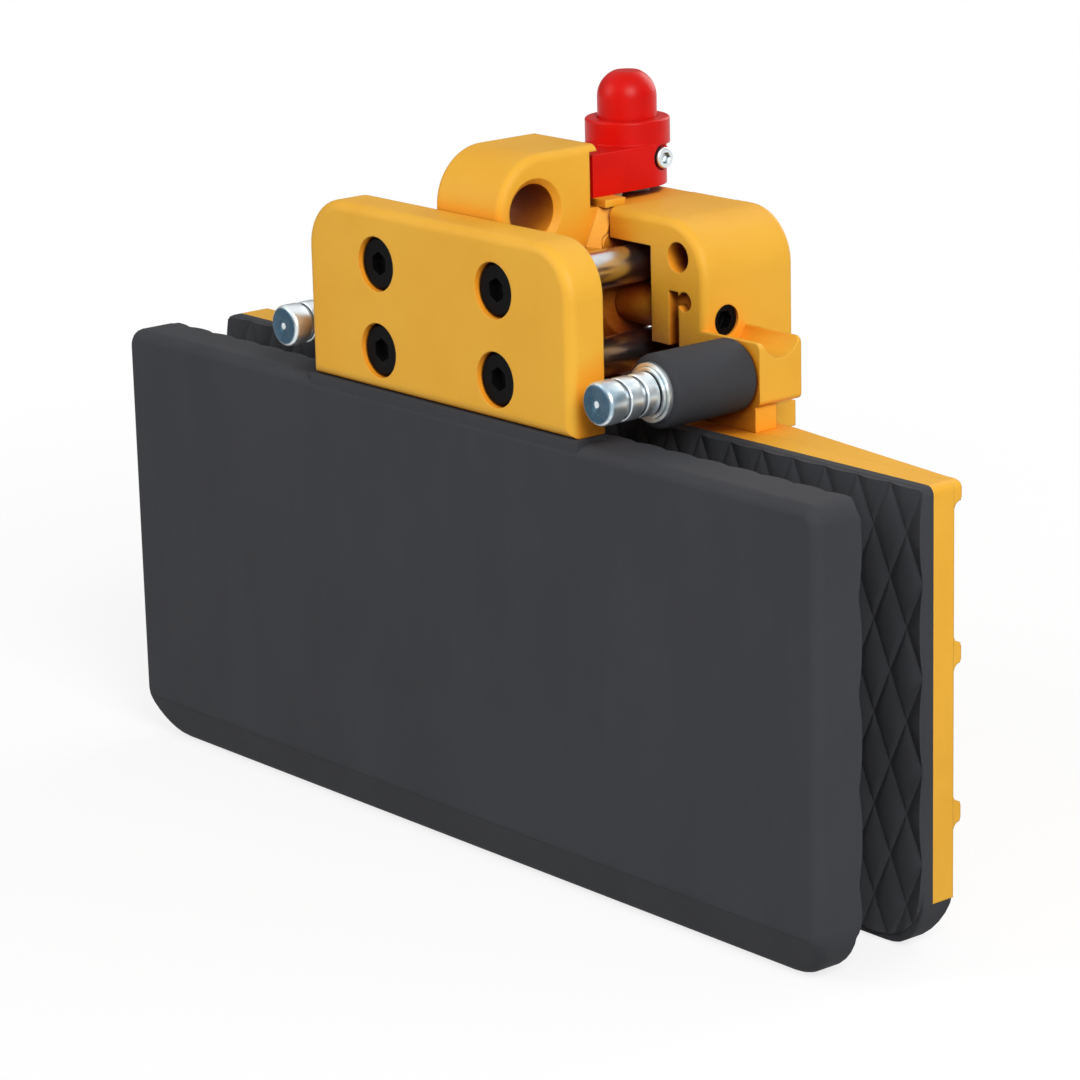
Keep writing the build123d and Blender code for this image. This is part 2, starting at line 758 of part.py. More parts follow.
tie_screw = socket_screw(
    tie_screw_head_diameter, tie_screw_head_height, tie_screw_diameter, tie_screw_length, tie_screw_key
)
with BuildPart() as tie_screws:
    with Locations(
        *[facing(x, tie_back_y - tie_counterbore_depth, z, (0, 1, 0)) for side, level, x, z in shaft_places]
    ):
        add(tie_screw)
save(tie_screws.part, "tie_plate_screws")

# Draw bar: bolted behind the front plate, with an upright slot for the lever's pin
with BuildPart() as draw_bar:
    with BuildSketch(sideways(0)):
        with BuildLine():
            Polyline(
                (plate_back_y, draw_bar_top_z),
                (draw_pin_y - 2 * draw_eye_radius, draw_bar_top_z),
                (draw_pin_y - draw_eye_radius / 2, draw_pin_z + draw_eye_radius * sqrt(3) / 2),
                (draw_pin_y, draw_pin_z),
                (draw_pin_y - draw_eye_radius / 2, draw_pin_z - draw_eye_radius * sqrt(3) / 2),
                (draw_pin_y - 3 * draw_eye_radius, draw_bar_bottom_z),
                (plate_back_y, draw_bar_bottom_z),
                close=True,
            )
        make_face()
        with Locations((draw_pin_y, draw_pin_z)):
            Circle(draw_eye_radius)
        with Locations((draw_pin_y, draw_pin_z + draw_pin_rise / 2)):
            SlotOverall(
                draw_pin_diameter + 2 * draw_pin_slack + draw_pin_rise,
                draw_pin_diameter + 2 * draw_pin_slack,
                rotation=90,
                mode=Mode.SUBTRACT,
            )
    extrude(amount=draw_bar_half_width, both=True)
    with BuildSketch(upright(draw_flange_back_y)):
        with Locations((0, (draw_bar_top_z + draw_bar_bottom_z) / 2)):
            Rectangle(2 * draw_flange_half_width, draw_flange_height)
    extrude(amount=draw_flange_thickness)
    with Locations(*[facing(x, draw_flange_back_y, z, (0, 1, 0)) for x, z in draw_screw_places]):
        Hole((draw_screw_diameter + screw_clearance) / 2, draw_flange_thickness)
save(draw_bar.part, "draw_bar")

draw_screw = socket_screw(
    draw_screw_head_diameter, draw_screw_head_height, draw_screw_diameter, draw_screw_length, draw_screw_key
)
with BuildPart() as draw_screws:
    with Locations(*[facing(x, draw_flange_back_y, z, (0, 1, 0)) for x, z in draw_screw_places]):
        add(draw_screw)
save(draw_screws.part, "draw_bar_screws")

# Lifting lever: eye lug, forked hub on the pivot and a tail for the lock
with BuildPart() as lifting_lever:
    with BuildSketch(sideways(0)):
        with BuildLine():
            nose = RadiusArc((lug_front_y, eye_z), (lug_front_y + lug_radius, lug_top_z), lug_radius)
            Polyline(
                nose @ 1,
                (lug_back_y + lug_lip_length, lug_top_z),
                (lug_back_y + lug_lip_length, tail_top_z),
                (pivot_y, tail_top_z),
                (pivot_y, pivot_z - hub_radius),
                (pivot_y - throat_back, pivot_z - throat_drop),
                (lug_front_y + chin_back, eye_z - chin_drop),
                (lug_front_y, eye_z - lug_front_drop),
                nose @ 0,
            )
        make_face()
    extrude(amount=lug_half_width, both=True)
    for end in (0, -1):
        rim = lifting_lever.faces().sort_by(Axis.X)[end].edges()
        rim = rim.filter_by_position(Axis.Y, lug_front_y, lug_back_y - lug_edge_radius)
        fillet(rim.filter_by_position(Axis.Z, eye_z - lug_front_drop, lug_top_z), lug_edge_radius)
    with BuildSketch(sideways(0)):
        with Locations((lug_back_y + lug_lip_length / 2, (tail_top_z + lug_top_z - lug_lip_height) / 2)):
            Rectangle(lug_lip_length, lug_top_z - lug_lip_height - tail_top_z)
    extrude(amount=lug_half_width, both=True, mode=Mode.SUBTRACT)
    with BuildSketch(sideways(0)):
        with BuildLine():
            Polyline(
                (lug_back_y + lug_lip_length, tail_top_z),
                (tail_end_y, tail_top_z),
                (tail_end_y, tail_bottom_z),
                (pivot_y + hub_radius, tail_bottom_z),
                (pivot_y + hub_radius, pivot_z),
                (pivot_y - hub_radius, pivot_z),
                (draw_pin_y - draw_eye_radius, draw_pin_z),
                close=True,
            )
        make_face()
        with Locations((pivot_y, pivot_z)):
            Circle(hub_radius)
    extrude(amount=hub_half_width, both=True)
    hub_front = lifting_lever.edges().filter_by_position(Axis.Z, pivot_z + hub_flare, tail_top_z)
    hub_front = hub_front.filter_by_position(Axis.Y, draw_pin_y - hub_radius, lug_back_y + lug_lip_length)
    hub_front = [edge for edge in hub_front if abs(abs(edge.center().X) - hub_half_width) < side_gap]
    chamfer(hub_front, hub_flare)
    with BuildSketch(Plane.XY.offset(tail_top_z)):
        with Locations((0, (lug_back_y + lug_lip_length + lock_seat_back_y) / 2)):
            Rectangle(2 * hub_half_width, lock_seat_back_y - lug_back_y - lug_lip_length)
    extrude(amount=lock_lift)

    # Fork for the draw bar
    with BuildSketch(sideways(0)):
        with BuildLine():
            Polyline(
                (front_y, draw_bar_top_z + fork_headroom),
                (draw_pin_y - 2 * draw_eye_radius, draw_bar_top_z + fork_headroom),
                (draw_pin_y - fork_radius / 2, draw_pin_z + fork_radius * sqrt(3) / 2),
                (draw_pin_y, draw_pin_z),
                (draw_pin_y + fork_radius, draw_pin_z),
                (draw_pin_y + fork_radius, jaw_height),
                (front_y, jaw_height),
                close=True,
            )
        make_face()
        with Locations((draw_pin_y, draw_pin_z)):
            Circle(fork_radius)
    extrude(amount=draw_bar_half_width + draw_bar_gap, both=True, mode=Mode.SUBTRACT)

    # Eye, pivot, draw pin and latch bores, all across the lever
    for diameter, y, z in (
        (eye_diameter, eye_y, eye_z),
        (pivot_bush_outer_diameter, pivot_y, pivot_z),
        (draw_pin_diameter, draw_pin_y, draw_pin_z),
        (latch_pin_diameter + 2 * running_clearance, lock_y, latch_pin_z),
    ):
        with BuildSketch(sideways(0)):
            with Locations((y, z)):
                Circle(diameter / 2)
        extrude(amount=hub_half_width, both=True, mode=Mode.SUBTRACT)
    eye_rims = [
        edge
        for edge in lifting_lever.edges().filter_by(GeomType.CIRCLE)
        if abs(edge.radius - eye_diameter / 2) < side_gap and abs(edge.arc_center.Z - eye_z) < side_gap
    ]
    chamfer(eye_rims, eye_chamfer)
    with BuildSketch(Plane.XY.offset(tail_top_z)):
        with Locations((0, lock_y)):
            Circle(plunger_diameter / 2 + running_clearance)
    extrude(amount=spring_floor_z - tail_top_z, mode=Mode.SUBTRACT)
    with BuildSketch(Plane.XY.offset(lock_base_z)):
        with Locations(*lock_screw_places):
            Circle((lock_screw_diameter + screw_clearance) / 2)
    extrude(amount=lock_screw_tip_z - screw_clearance - lock_base_z, mode=Mode.SUBTRACT)
save(lifting_lever.part, "lifting_lever")

# Pivot axle with its plugs, bushes and spacers
with BuildPart() as pivot_axle:
    with BuildSketch(sideways(0)):
        with Locations((pivot_y, pivot_z)):
            Circle(axle_diameter / 2 - running_clearance)
    extrude(amount=axle_half_length, both=True)
    chamfer(pivot_axle.edges(), shaft_end_chamfer)
save(pivot_axle.part, "pivot_axle")

with BuildPart() as axle_plugs:
    for name, side in sides:
        with BuildSketch(sideways(side * (axle_half_length + axle_gap))):
            with Locations((pivot_y, pivot_z)):
                Circle(axle_plug_diameter / 2)
        extrude(amount=side * axle_plug_length)
        with BuildSketch(sideways(side * (axle_half_length + axle_gap + axle_plug_length))):
            with Locations((pivot_y, pivot_z)):
                RegularPolygon(axle_plug_key / 2, 6, major_radius=False)
        extrude(amount=-side * axle_plug_length / 2, mode=Mode.SUBTRACT)
save(axle_plugs.part, "axle_plugs")

cheek_inner_x = draw_bar_half_width + draw_bar_gap
pivot_bush = tube(pivot_bush_outer_diameter, axle_diameter, hub_half_width - cheek_inner_x)
with BuildPart() as pivot_bushes:
    with Locations(*[facing(side * cheek_inner_x, pivot_y, pivot_z, (side, 0, 0)) for name, side in sides]):
        add(pivot_bush)
save(pivot_bushes.part, "pivot_bushes")

pivot_spacer = tube(spacer_outer_diameter, axle_diameter, channel_half_width - hub_half_width - 2 * side_gap)
with BuildPart() as pivot_spacers:
    with Locations(
        *[facing(side * (hub_half_width + side_gap), pivot_y, pivot_z, (side, 0, 0)) for name, side in sides]
    ):
        add(pivot_spacer)
save(pivot_spacers.part, "pivot_spacers")

with BuildPart() as draw_pin:
    with BuildSketch(sideways(0)):
        with Locations((draw_pin_y, draw_pin_z)):
            Circle(draw_pin_diameter / 2)
    extrude(amount=hub_half_width, both=True)
    chamfer(draw_pin.edges(), shaft_end_chamfer)
save(draw_pin.part, "draw_pin")

# Lock housing: foot, block and collar, bolted to the lever on a seat and two spacers
with BuildPart() as lock_housing:
    with BuildSketch(Plane.XY.offset(lock_base_z)):
        with Locations((0, (lock_front_y + lock_block_y) / 2)):
            Rectangle(2 * lock_half_width, lock_block_y - lock_front_y)
        with Locations((0, lock_block_y)):
            Circle(lock_half_width)
    extrude(amount=lock_foot_height)
    with BuildSketch(Plane.XY.offset(lock_base_z)):
        with Locations((0, lock_block_y - lock_block_length / 2)):
            SlotCenterToCenter(lock_block_length, 2 * lock_half_width, rotation=90)
        with Locations(((lock_half_width - lock_shoulder) / 2, (lock_front_y + lock_block_y) / 2)):
            Rectangle(lock_half_width + lock_shoulder, lock_block_y - lock_front_y)
        with Locations((-lock_half_width, lock_front_y)):
            Rectangle(2 * (lock_half_width - lock_shoulder), 2 * (lock_y - lock_front_y), mode=Mode.SUBTRACT)
    extrude(amount=lock_block_height)
    fillet(lock_housing.faces().sort_by(Axis.Z)[-1].edges(), lock_edge_radius)
    with BuildSketch(Plane.XY.offset(lock_block_top_z - lock_edge_radius)):
        with Locations((0, lock_y)):
            Circle(collar_diameter / 2)
    extrude(amount=collar_height + lock_edge_radius)
    fillet(lock_housing.faces().sort_by(Axis.Z)[-1].edges(), lock_edge_radius)

    # Seats of the guide bolt and its nut, on both sides
    with BuildSketch(sideways(0)):
        with Locations((guide_bolt_y, guide_bolt_z)):
            Circle(guide_boss_diameter / 2)
    extrude(amount=guide_bolt_seat, both=True)
    for name, side in sides:
        with BuildSketch(sideways(side * guide_bolt_seat)):
            with Locations((guide_bolt_y, guide_bolt_z)):
                Circle(guide_boss_diameter / 2)
        extrude(amount=side * lock_half_width, mode=Mode.SUBTRACT)

    # Bores for the plunger, the knob, the screws and the guide bolt
    with Locations((0, lock_y, collar_top_z)):
        CounterBoreHole(
            plunger_diameter / 2 + running_clearance,
            knob_diameter / 2 + knob_gap,
            knob_seat,
            collar_top_z - lock_base_z,
        )
    with Locations(*[(x, y, lock_block_top_z) for x, y in lock_screw_places]):
        CounterBoreHole(
            (lock_screw_diameter + screw_clearance) / 2,
            (lock_screw_head_diameter + 2 * screw_clearance) / 2,
            lock_block_top_z - lock_screw_seat_z,
            lock_block_height,
        )
    with BuildSketch(sideways(0)):
        with Locations((guide_bolt_y, guide_bolt_z)):
            Circle(guide_bolt_diameter / 2 + running_clearance)
    extrude(amount=lock_half_width, both=True, mode=Mode.SUBTRACT)
save(lock_housing.part, "lock_housing")

lock_screw = socket_screw(
    lock_screw_head_diameter, lock_screw_head_height, lock_screw_diameter, lock_screw_length, lock_screw_key
)
with BuildPart() as lock_screws:
    with Locations(*[(x, y, lock_screw_seat_z) for x, y in lock_screw_places]):
        add(lock_screw)
save(lock_screws.part, "lock_screws")

# Caps over the right-hand screws, flush with the top of the block
with BuildPart() as lock_screw_caps:
    with BuildSketch(Plane.XY.offset(lock_block_top_z)):
        with Locations(*[(x, y) for x, y in lock_screw_places if x > 0]):
            Circle(lock_screw_head_diameter / 2 + screw_clearance)
    extrude(amount=-lock_cap_height)
save(lock_screw_caps.part, "lock_screw_caps")

lock_spacer = tube(lock_spacer_diameter, lock_screw_diameter + screw_clearance, lock_lift)
with BuildPart() as lock_spacers:
    with Locations(*[(x, y, tail_top_z) for x, y in lock_spacer_places]):
        add(lock_spacer)
save(lock_spacers.part, "lock_spacers")

# Bolt through the lock housing that keeps the plunger in, and its nut
with BuildPart() as lock_guide_bolt:
    with BuildSketch(sideways(guide_bolt_seat)):
        with Locations((guide_bolt_y, guide_bolt_z)):
            Circle(guide_bolt_head / 2)
    extrude(amount=guide_bolt_head_height)
    fillet(lock_guide_bolt.faces().sort_by(Axis.X)[-1].edges(), guide_bolt_head_height / 4)
    with BuildSketch(sideways(guide_bolt_seat + guide_bolt_head_height)):
        with Locations((guide_bolt_y, guide_bolt_z)):
            RegularPolygon(guide_bolt_key / 2, 6, major_radius=False)
    extrude(amount=-guide_bolt_head_height / 2, mode=Mode.SUBTRACT)
    with BuildSketch(sideways(guide_bolt_seat)):
        with Locations((guide_bolt_y, guide_bolt_z)):
            Circle(guide_bolt_diameter / 2)
    extrude(amount=-2 * guide_bolt_seat - guide_nut_height)
save(lock_guide_bolt.part, "lock_guide_bolt")

with BuildPart() as lock_guide_nut:
    with BuildSketch(sideways(-guide_bolt_seat)):
        with Locations((guide_bolt_y, guide_bolt_z)):
            Circle(guide_bolt_head / sqrt(3))
    extrude(amount=-guide_nut_height)
    chamfer(lock_guide_nut.edges().filter_by(GeomType.CIRCLE), guide_nut_chamfer / 2, guide_nut_chamfer)
    with BuildSketch(sideways(-guide_bolt_seat)):
        with Locations((guide_bolt_y, guide_bolt_z)):
            RegularPolygon(guide_bolt_head / 2, 6, major_radius=False)
            Circle(guide_bolt_diameter / 2, mode=Mode.SUBTRACT)
    extrude(amount=-guide_nut_height, mode=Mode.INTERSECT)
save(lock_guide_nut.part, "lock_guide_nut")

# Knob and plunger of the lock
lock_axis = Axis((0, lock_y, 0), (0, 0, 1))
with BuildPart() as lock_knob:
    with BuildSketch(upright(lock_y)):
        with BuildLine():
            skirt = Polyline(
                (0, knob_top_z),
                (0, knob_bottom_z),
                (knob_diameter / 2, knob_bottom_z),
                (knob_diameter / 2, knob_top_z - knob_dome_height),
            )
            dome = TangentArc(skirt @ 1, (knob_flat_diameter / 2, knob_top_z), tangent=(0, 1))
            Line(dome @ 1, skirt @ 0)
        make_face()
    revolve(axis=lock_axis)
    with BuildSketch(Plane.XY.offset(knob_bottom_z)):
        with Locations((0, lock_y)):
            Circle(plunger_diameter / 2)
    extrude(amount=plunger_fit, mode=Mode.SUBTRACT)
save(lock_knob.part, "lock_knob")

with BuildPart() as lock_plunger:
    with BuildSketch(upright(lock_y)):
        with BuildLine():
            Polyline(
                (spring_bore / 2, cone_tip_z),
                (cone_tip_radius, cone_tip_z),
                (plunger_diameter / 2, cone_top_z),
                (plunger_diameter / 2, plunger_top_z),
                (0, plunger_top_z),
                (0, spring_top_z),
                (spring_bore / 2, spring_top_z),
                close=True,
            )
        make_face()
    revolve(axis=lock_axis)
    with BuildSketch(sideways(0)):
        with Locations((guide_bolt_y, guide_bolt_z + knob_travel / 2)):
            SlotOverall(
                guide_bolt_diameter + 2 * guide_bolt_gap + knob_travel,
                guide_bolt_diameter + 2 * guide_bolt_gap,
                rotation=90,
            )
    extrude(amount=plunger_diameter, both=True, mode=Mode.SUBTRACT)
save(lock_plunger.part, "lock_plunger")

# Latch pins, pushed apart by the plunger's cone
pin_radius = latch_pin_diameter / 2
pin_centre_x = cone_rest_radius + (pin_radius + running_clearance) * sqrt(2)
for name, side in sides:
    with BuildPart() as latch_pin:
        with BuildSketch(sideways(side * pin_centre_x)):
            with Locations((lock_y, latch_pin_z)):
                Circle(pin_radius)
        extrude(amount=side * (hub_half_width - latch_pin_inset - pin_centre_x))
        with Locations((side * pin_centre_x, lock_y, latch_pin_z)):
            Sphere(pin_radius)
    save(latch_pin.part, f"{name}_latch_pin")


def coil_point(turn):
    """Point of the lock spring's centre line after a number of turns."""
    angle = 2 * pi * turn
    height = spring_floor_z + spring_wire / 2 + turn * spring_pitch
    return Vector(spring_diameter / 2 * cos(angle), lock_y + spring_diameter / 2 * sin(angle), height)


def coil_direction(turn):
    """Direction of the lock spring's centre line after a number of turns."""
    angle = 2 * pi * turn
    girth = pi * spring_diameter
    return Vector(-girth * sin(angle), girth * cos(angle), spring_pitch).normalized()


# Lock spring: one wire on quarter turns, each a pair of arcs that meet without a kink
with BuildPart() as lock_spring:
    with BuildLine() as coil:
        for quarter in range(4 * spring_turns):
            start = coil_point(quarter / 4)
            finish = coil_point((quarter + 1) / 4)
            start_way = coil_direction(quarter / 4)
            finish_way = coil_direction((quarter + 1) / 4)
            span = finish - start
            ways = start_way + finish_way
            a = 2 * (1 - start_way.dot(finish_way))
            b = 2 * span.dot(ways)
            c = -span.dot(span)
            reach = (sqrt(b * b - 4 * a * c) - b) / (2 * a)
            middle = (start + start_way * reach + finish - finish_way * reach) * 0.5
            first = TangentArc(start, middle, tangent=start_way)
            TangentArc(middle, finish, tangent=first % 1)
    with BuildSketch(Plane(origin=coil.wire() @ 0, z_dir=coil.wire() % 0)):
        Circle(spring_wire / 2)
    sweep(path=coil.wire())
save(lock_spring.part, "lock_spring")
samples = [coil_point(step / 24) for step in range(24 * spring_turns + 1)]
gaps = [
    (samples[i] - samples[j]).length - spring_wire
    for i in range(len(samples))
    for j in range(i + 12, len(samples))
]
print("least gap of the lock spring to itself", round(min(gaps), 3))

# Slab stops: grooved bar screwed into the wing, rubber sleeve, washer and retaining ring
for name, side in sides:
    x = side * stop_bar_x
    with BuildPart() as stop_bar:
        with BuildSketch(upright(carriage_front_y)):
            with Locations((x, stop_bar_z)):
                Circle(stop_bar_diameter / 2)
        extrude(amount=carriage_front_y - stop_bar_front_y)
        chamfer(stop_bar.edges().group_by(Axis.Y)[0], stop_bar_chamfer)
        with BuildSketch(upright(carriage_front_y)):
            with Locations((x, stop_bar_z)):
                Circle(stop_spigot_diameter / 2)
        extrude(amount=stop_spigot_recess - wing_depth)
        for groove in range(groove_count):
            groove_y = stop_bar_front_y + groove_first + groove * groove_pitch
            with BuildSketch(upright(groove_y + groove_width)):
                with Locations((x, stop_bar_z)):
                    Circle(stop_bar_diameter / 2)
                    Circle(stop_bar_diameter / 2 - groove_depth, mode=Mode.SUBTRACT)
            extrude(amount=groove_width, mode=Mode.SUBTRACT)
    save(stop_bar.part, f"{name}_stop_bar")

    with BuildPart() as stop_ring:
        with BuildSketch(upright(groove_y + groove_width)):
            with Locations((x, stop_bar_z)):
                Circle(ring_diameter / 2)
                Circle(stop_bar_diameter / 2 - groove_depth, mode=Mode.SUBTRACT)
            with Locations((x, stop_bar_z - ring_diameter / 2)):
                Rectangle(ring_opening, ring_diameter, mode=Mode.SUBTRACT)
        extrude(amount=groove_width - side_gap)
    save(stop_ring.part, f"{name}_stop_ring")

    washer_y = groove_y + groove_width
    stop_washer = tube(stop_washer_diameter, stop_bar_diameter, stop_washer_thickness)
    with BuildPart() as washer:
        with Locations(facing(x, washer_y, stop_bar_z, (0, 1, 0))):
            add(stop_washer)
    save(washer.part, f"{name}_stop_washer")

    sleeve_y = washer_y + stop_washer_thickness
    sleeve_tube = tube(sleeve_diameter, stop_bar_diameter, carriage_front_y - sleeve_end_gap - sleeve_y)
    with BuildPart() as stop_sleeve:
        with Locations(facing(x, sleeve_y, stop_bar_z, (0, 1, 0))):
            add(sleeve_tube)
        rims = stop_sleeve.edges().filter_by(GeomType.CIRCLE)
        fillet([edge for edge in rims if edge.radius > stop_bar_diameter / 2], sleeve_edge_radius)
    save(stop_sleeve.part, f"{name}_stop_sleeve")
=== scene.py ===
import json
import math

import bmesh
import bpy
from bpy.props import FloatProperty, FloatVectorProperty, IntProperty, PointerProperty
from mathutils import Matrix, Vector


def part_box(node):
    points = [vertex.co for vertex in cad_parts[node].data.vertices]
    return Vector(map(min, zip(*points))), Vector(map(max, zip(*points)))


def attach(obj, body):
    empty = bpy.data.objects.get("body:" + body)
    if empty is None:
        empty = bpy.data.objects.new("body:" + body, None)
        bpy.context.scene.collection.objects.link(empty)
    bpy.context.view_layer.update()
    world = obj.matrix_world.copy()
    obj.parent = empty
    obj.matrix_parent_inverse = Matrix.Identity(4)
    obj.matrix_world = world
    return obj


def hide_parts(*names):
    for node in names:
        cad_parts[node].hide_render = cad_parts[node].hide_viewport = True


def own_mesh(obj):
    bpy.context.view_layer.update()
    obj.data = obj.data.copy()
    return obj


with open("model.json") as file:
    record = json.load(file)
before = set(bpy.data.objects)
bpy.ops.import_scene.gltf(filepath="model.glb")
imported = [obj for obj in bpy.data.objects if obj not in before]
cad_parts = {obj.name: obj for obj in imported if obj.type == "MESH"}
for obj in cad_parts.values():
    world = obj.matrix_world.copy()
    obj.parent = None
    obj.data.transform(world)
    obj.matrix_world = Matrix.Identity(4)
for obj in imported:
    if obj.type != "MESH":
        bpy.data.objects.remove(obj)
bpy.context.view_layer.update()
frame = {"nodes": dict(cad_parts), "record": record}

bl_info = {
    "name": "Slab lifting clamp",
    "version": (1, 0, 0),
    "blender": (4, 5, 0),
    "location": "3D View > Sidebar > Slab clamp",
    "description": "Moulds the rubber, turns the stop bars and finishes the metal of a slab lifting clamp",
    "category": "Object",
}

SIDES = ("left", "right")
TINY = 1e-5

# Segments of the rounded, turned and wound shapes
LOWER_CORNER_STEPS = 8
UPPER_CORNER_STEPS = 6
FOOT_BREAK_STEPS = 3
OUTER_EDGE_STEPS = 5
GRIP_EDGE_STEPS = 3
SMALL_EDGE_STEPS = 2
BAND_STEPS = 4
TURN_STEPS = 72
COIL_STEPS = 20
WIRE_SIDES = 10

# Angles in degrees from which an edge stays sharp
TREAD_CREASE = 30.0
RUBBER_CREASE = 38.0
BAR_CREASE = 40.0
WIRE_CREASE = 50.0

# Pull of the large faces on the shading at their edges, where 50 is neutral
FLAT_FACE_WEIGHT = 80

# Share of a normal along Y from which a face looks that way, roughly or squarely
LOOKS_ALONG = 0.5
SQUARE_ALONG = 0.9

# Rays that look for an edge or a recess
EDGE_RAYS = 6
RECESS_RAYS = 12

# Lamps, by their place, width in metres and power in watts, and the point that they shine at
LAMPS = {
    "Key lamp": ((1.72, -0.73, 1.34), 1.0, 41.0),
    "Front lamp": ((-0.99, -1.72, 1.14), 1.2, 18.0),
    "Back lamp": ((-0.25, 2.00, 1.00), 1.4, 22.0),
}
LAMP_TARGET = (0.0, 0.0, 0.17)

# Upward share of a reflection's direction at which the walls end, and at which the ceiling is whole
WALL_TOP = 0.25
CEILING = 0.75

WHITE = (1.0, 1.0, 1.0, 1.0)
CAMERA_REACH = 100.0


# Settings that a user would change

def length(name, description, default):
    """Length in metres."""
    return FloatProperty(name=name, description=description, default=default, unit="LENGTH", precision=5)


def colour(name, description, default):
    """Linear colour."""
    return FloatVectorProperty(
        name=name, description=description, default=default, subtype="COLOR", size=3, min=0.0, max=1.0
    )


class RubberSettings(bpy.types.PropertyGroup):
    """Sizes and colours of the moulded rubber."""

    lozenge_columns: IntProperty(name="Lozenge columns", description="Lozenges along a grip face", default=25)
    lozenge_rows: IntProperty(name="Lozenge rows", description="Lozenges up a grip face", default=5)
    groove_depth: length("Groove depth", "Depth of the grooves between the lozenges", 0.0018)
    groove_slope: length("Groove slope", "Width of a lozenge's sloping side", 0.0050)
    lozenge_round: length("Lozenge rounding", "Rounding of a lozenge's upper edges", 0.0022)
    tread_margin: length("Tread margin", "Distance from the tread to the jaw's outline", 0.0004)
    tread_bed: length("Tread bed", "Depth of the rubber bed below the grooves", 0.0006)
    lower_corner: length("Lower corner radius", "Rounding of the jaw's lower corners", 0.025)
    front_corner: length("Front corner radius", "Rounding of the front jaw's upper corners", 0.009)
    rear_corner: length("Rear corner radius", "Rounding of the rear jaw's upper corners", 0.004)
    outer_edge: length("Outer edge radius", "Rounding of the front cover's outer edges", 0.0055)
    grip_edge: length("Grip edge radius", "Rounding of the body's edges at the tread", 0.0012)
    foot_edge: length("Foot edge radius", "Rounding of the rear pad's foot", 0.001)
    foot_chamfer_height: length("Foot chamfer height", "Height of the slope at the outer foot", 0.021)
    foot_chamfer_depth: length("Foot chamfer depth", "Depth of the slope at the outer foot", 0.008)
    foot_break: length("Foot break radius", "Rounding between the outer face and the foot's slope", 0.022)
    grip_foot_ease: length("Grip foot ease", "Chamfer at the foot of the grip face", 0.004)
    lip_height: length("Lip height", "Height of the lip under the bolting plate", 0.002)
    lip_length: length("Lip length", "Length of the lip under the bolting plate", 0.195)
    lip_edge: length("Lip edge radius", "Rounding of the lip", 0.0008)
    lip_inset: length("Lip inset", "How far the lip stands back from the bolting plate's faces", 0.0003)
    sleeve_edge: length("Sleeve edge radius", "Rounding of the stop sleeve's ends", 0.0028)
    sleeve_hollow: length("Sleeve hollow", "Counterbore in the sleeve's ends", 0.0006)
    dark: colour("Rubber", "Rubber in its darker patches", (0.0362, 0.0372, 0.0420))
    pale: colour("Rubber bloom", "Rubber in its paler patches", (0.0425, 0.0437, 0.0488))
    dust: colour("Dust", "Dust that settles on the rubber", (0.10, 0.097, 0.092))


class PlatedSettings(bpy.types.PropertyGroup):
    """Sizes and colours of the plated and bare steel."""

    groove_first: length("First groove", "From the bar's end to its first groove", 0.010)
    groove_pitch: length("Groove pitch", "Distance between the bar's grooves", 0.0097)
    groove_count: IntProperty(name="Grooves", description="Grooves round the stop bar", default=3)
    groove_width: length("Groove width", "Width of a groove in the stop bar", 0.0022)
    groove_depth: length("Groove depth", "Depth of a groove in the stop bar", 0.0016)
    end_chamfer: length("End chamfer", "Chamfer on the stop bar's end", 0.0015)
    band_round: length("Band rounding", "Rounding of the bands between the grooves", 0.0009)
    centre_radius: length("Centre radius", "Radius of the turning centre in the bar's end", 0.0021)
    centre_depth: length("Centre depth", "Depth of the turning centre in the bar's end", 0.0017)
    spigot_radius: length("Spigot radius", "Radius of the bar's end in the wing", 0.008)
    spring_wire: length("Spring wire", "Thickness of the lock spring's wire", 0.0009)
    spring_turns: IntProperty(name="Spring turns", description="Turns of the lock spring", default=8)
    sawn_start: length("Sawn start", "Depth at which the bar's sawn end starts to turn plated", 0.0001)
    sawn_end: length("Sawn end", "Depth at which the bar is plated", 0.0008)
    zinc_soften: length("Softened zinc edge", "Rounding of plated edges", 0.0005)
    steel_soften: length("Softened steel edge", "Rounding of bare steel edges", 0.0006)
    oxide_soften: length("Softened black edge", "Rounding of blackened edges", 0.0007)
    bronze_soften: length("Softened bronze edge", "Rounding of bronze edges", 0.0005)
    # Reach of the painted shade that darkens the plating where grooves, sockets and neighbouring parts close
    # in
    crevice_shade_reach: length("Grime reach", "Width of the grooves and sockets that hold grime", 0.004)
    zinc: colour("Zinc", "Bright zinc plating", (0.80, 0.87, 0.90))
    zinc_blue: colour("Blue passivate", "Bluish film in patches of the plating", (0.34, 0.48, 0.58))
    zinc_cream: colour("Yellowed passivate", "Yellowed film in patches of the plating", (0.66, 0.62, 0.50))
    # Colour of the painted shade in the plating's grooves and sockets
    painted_crevice_shade: colour("Grime", "Grime in the grooves and sockets of the plating", (0.035, 0.045, 0.055))
    cut_end: colour("Cut end", "Dull sawn end of the stop bar", (0.036, 0.084, 0.128))
    ground: colour("Ground steel", "Ground shafts", (0.70, 0.71, 0.73))
    machined: colour("Machined steel", "Turned and milled steel", (0.46, 0.47, 0.48))
    oxide: colour("Black oxide", "Blackened screws", (0.0022, 0.0022, 0.0024))
    oxide_worn: colour("Worn oxide", "Edges where the blackening is rubbed", (0.010, 0.010, 0.011))
    bronze: colour("Bronze", "Bearing bushes", (0.50, 0.32, 0.12))


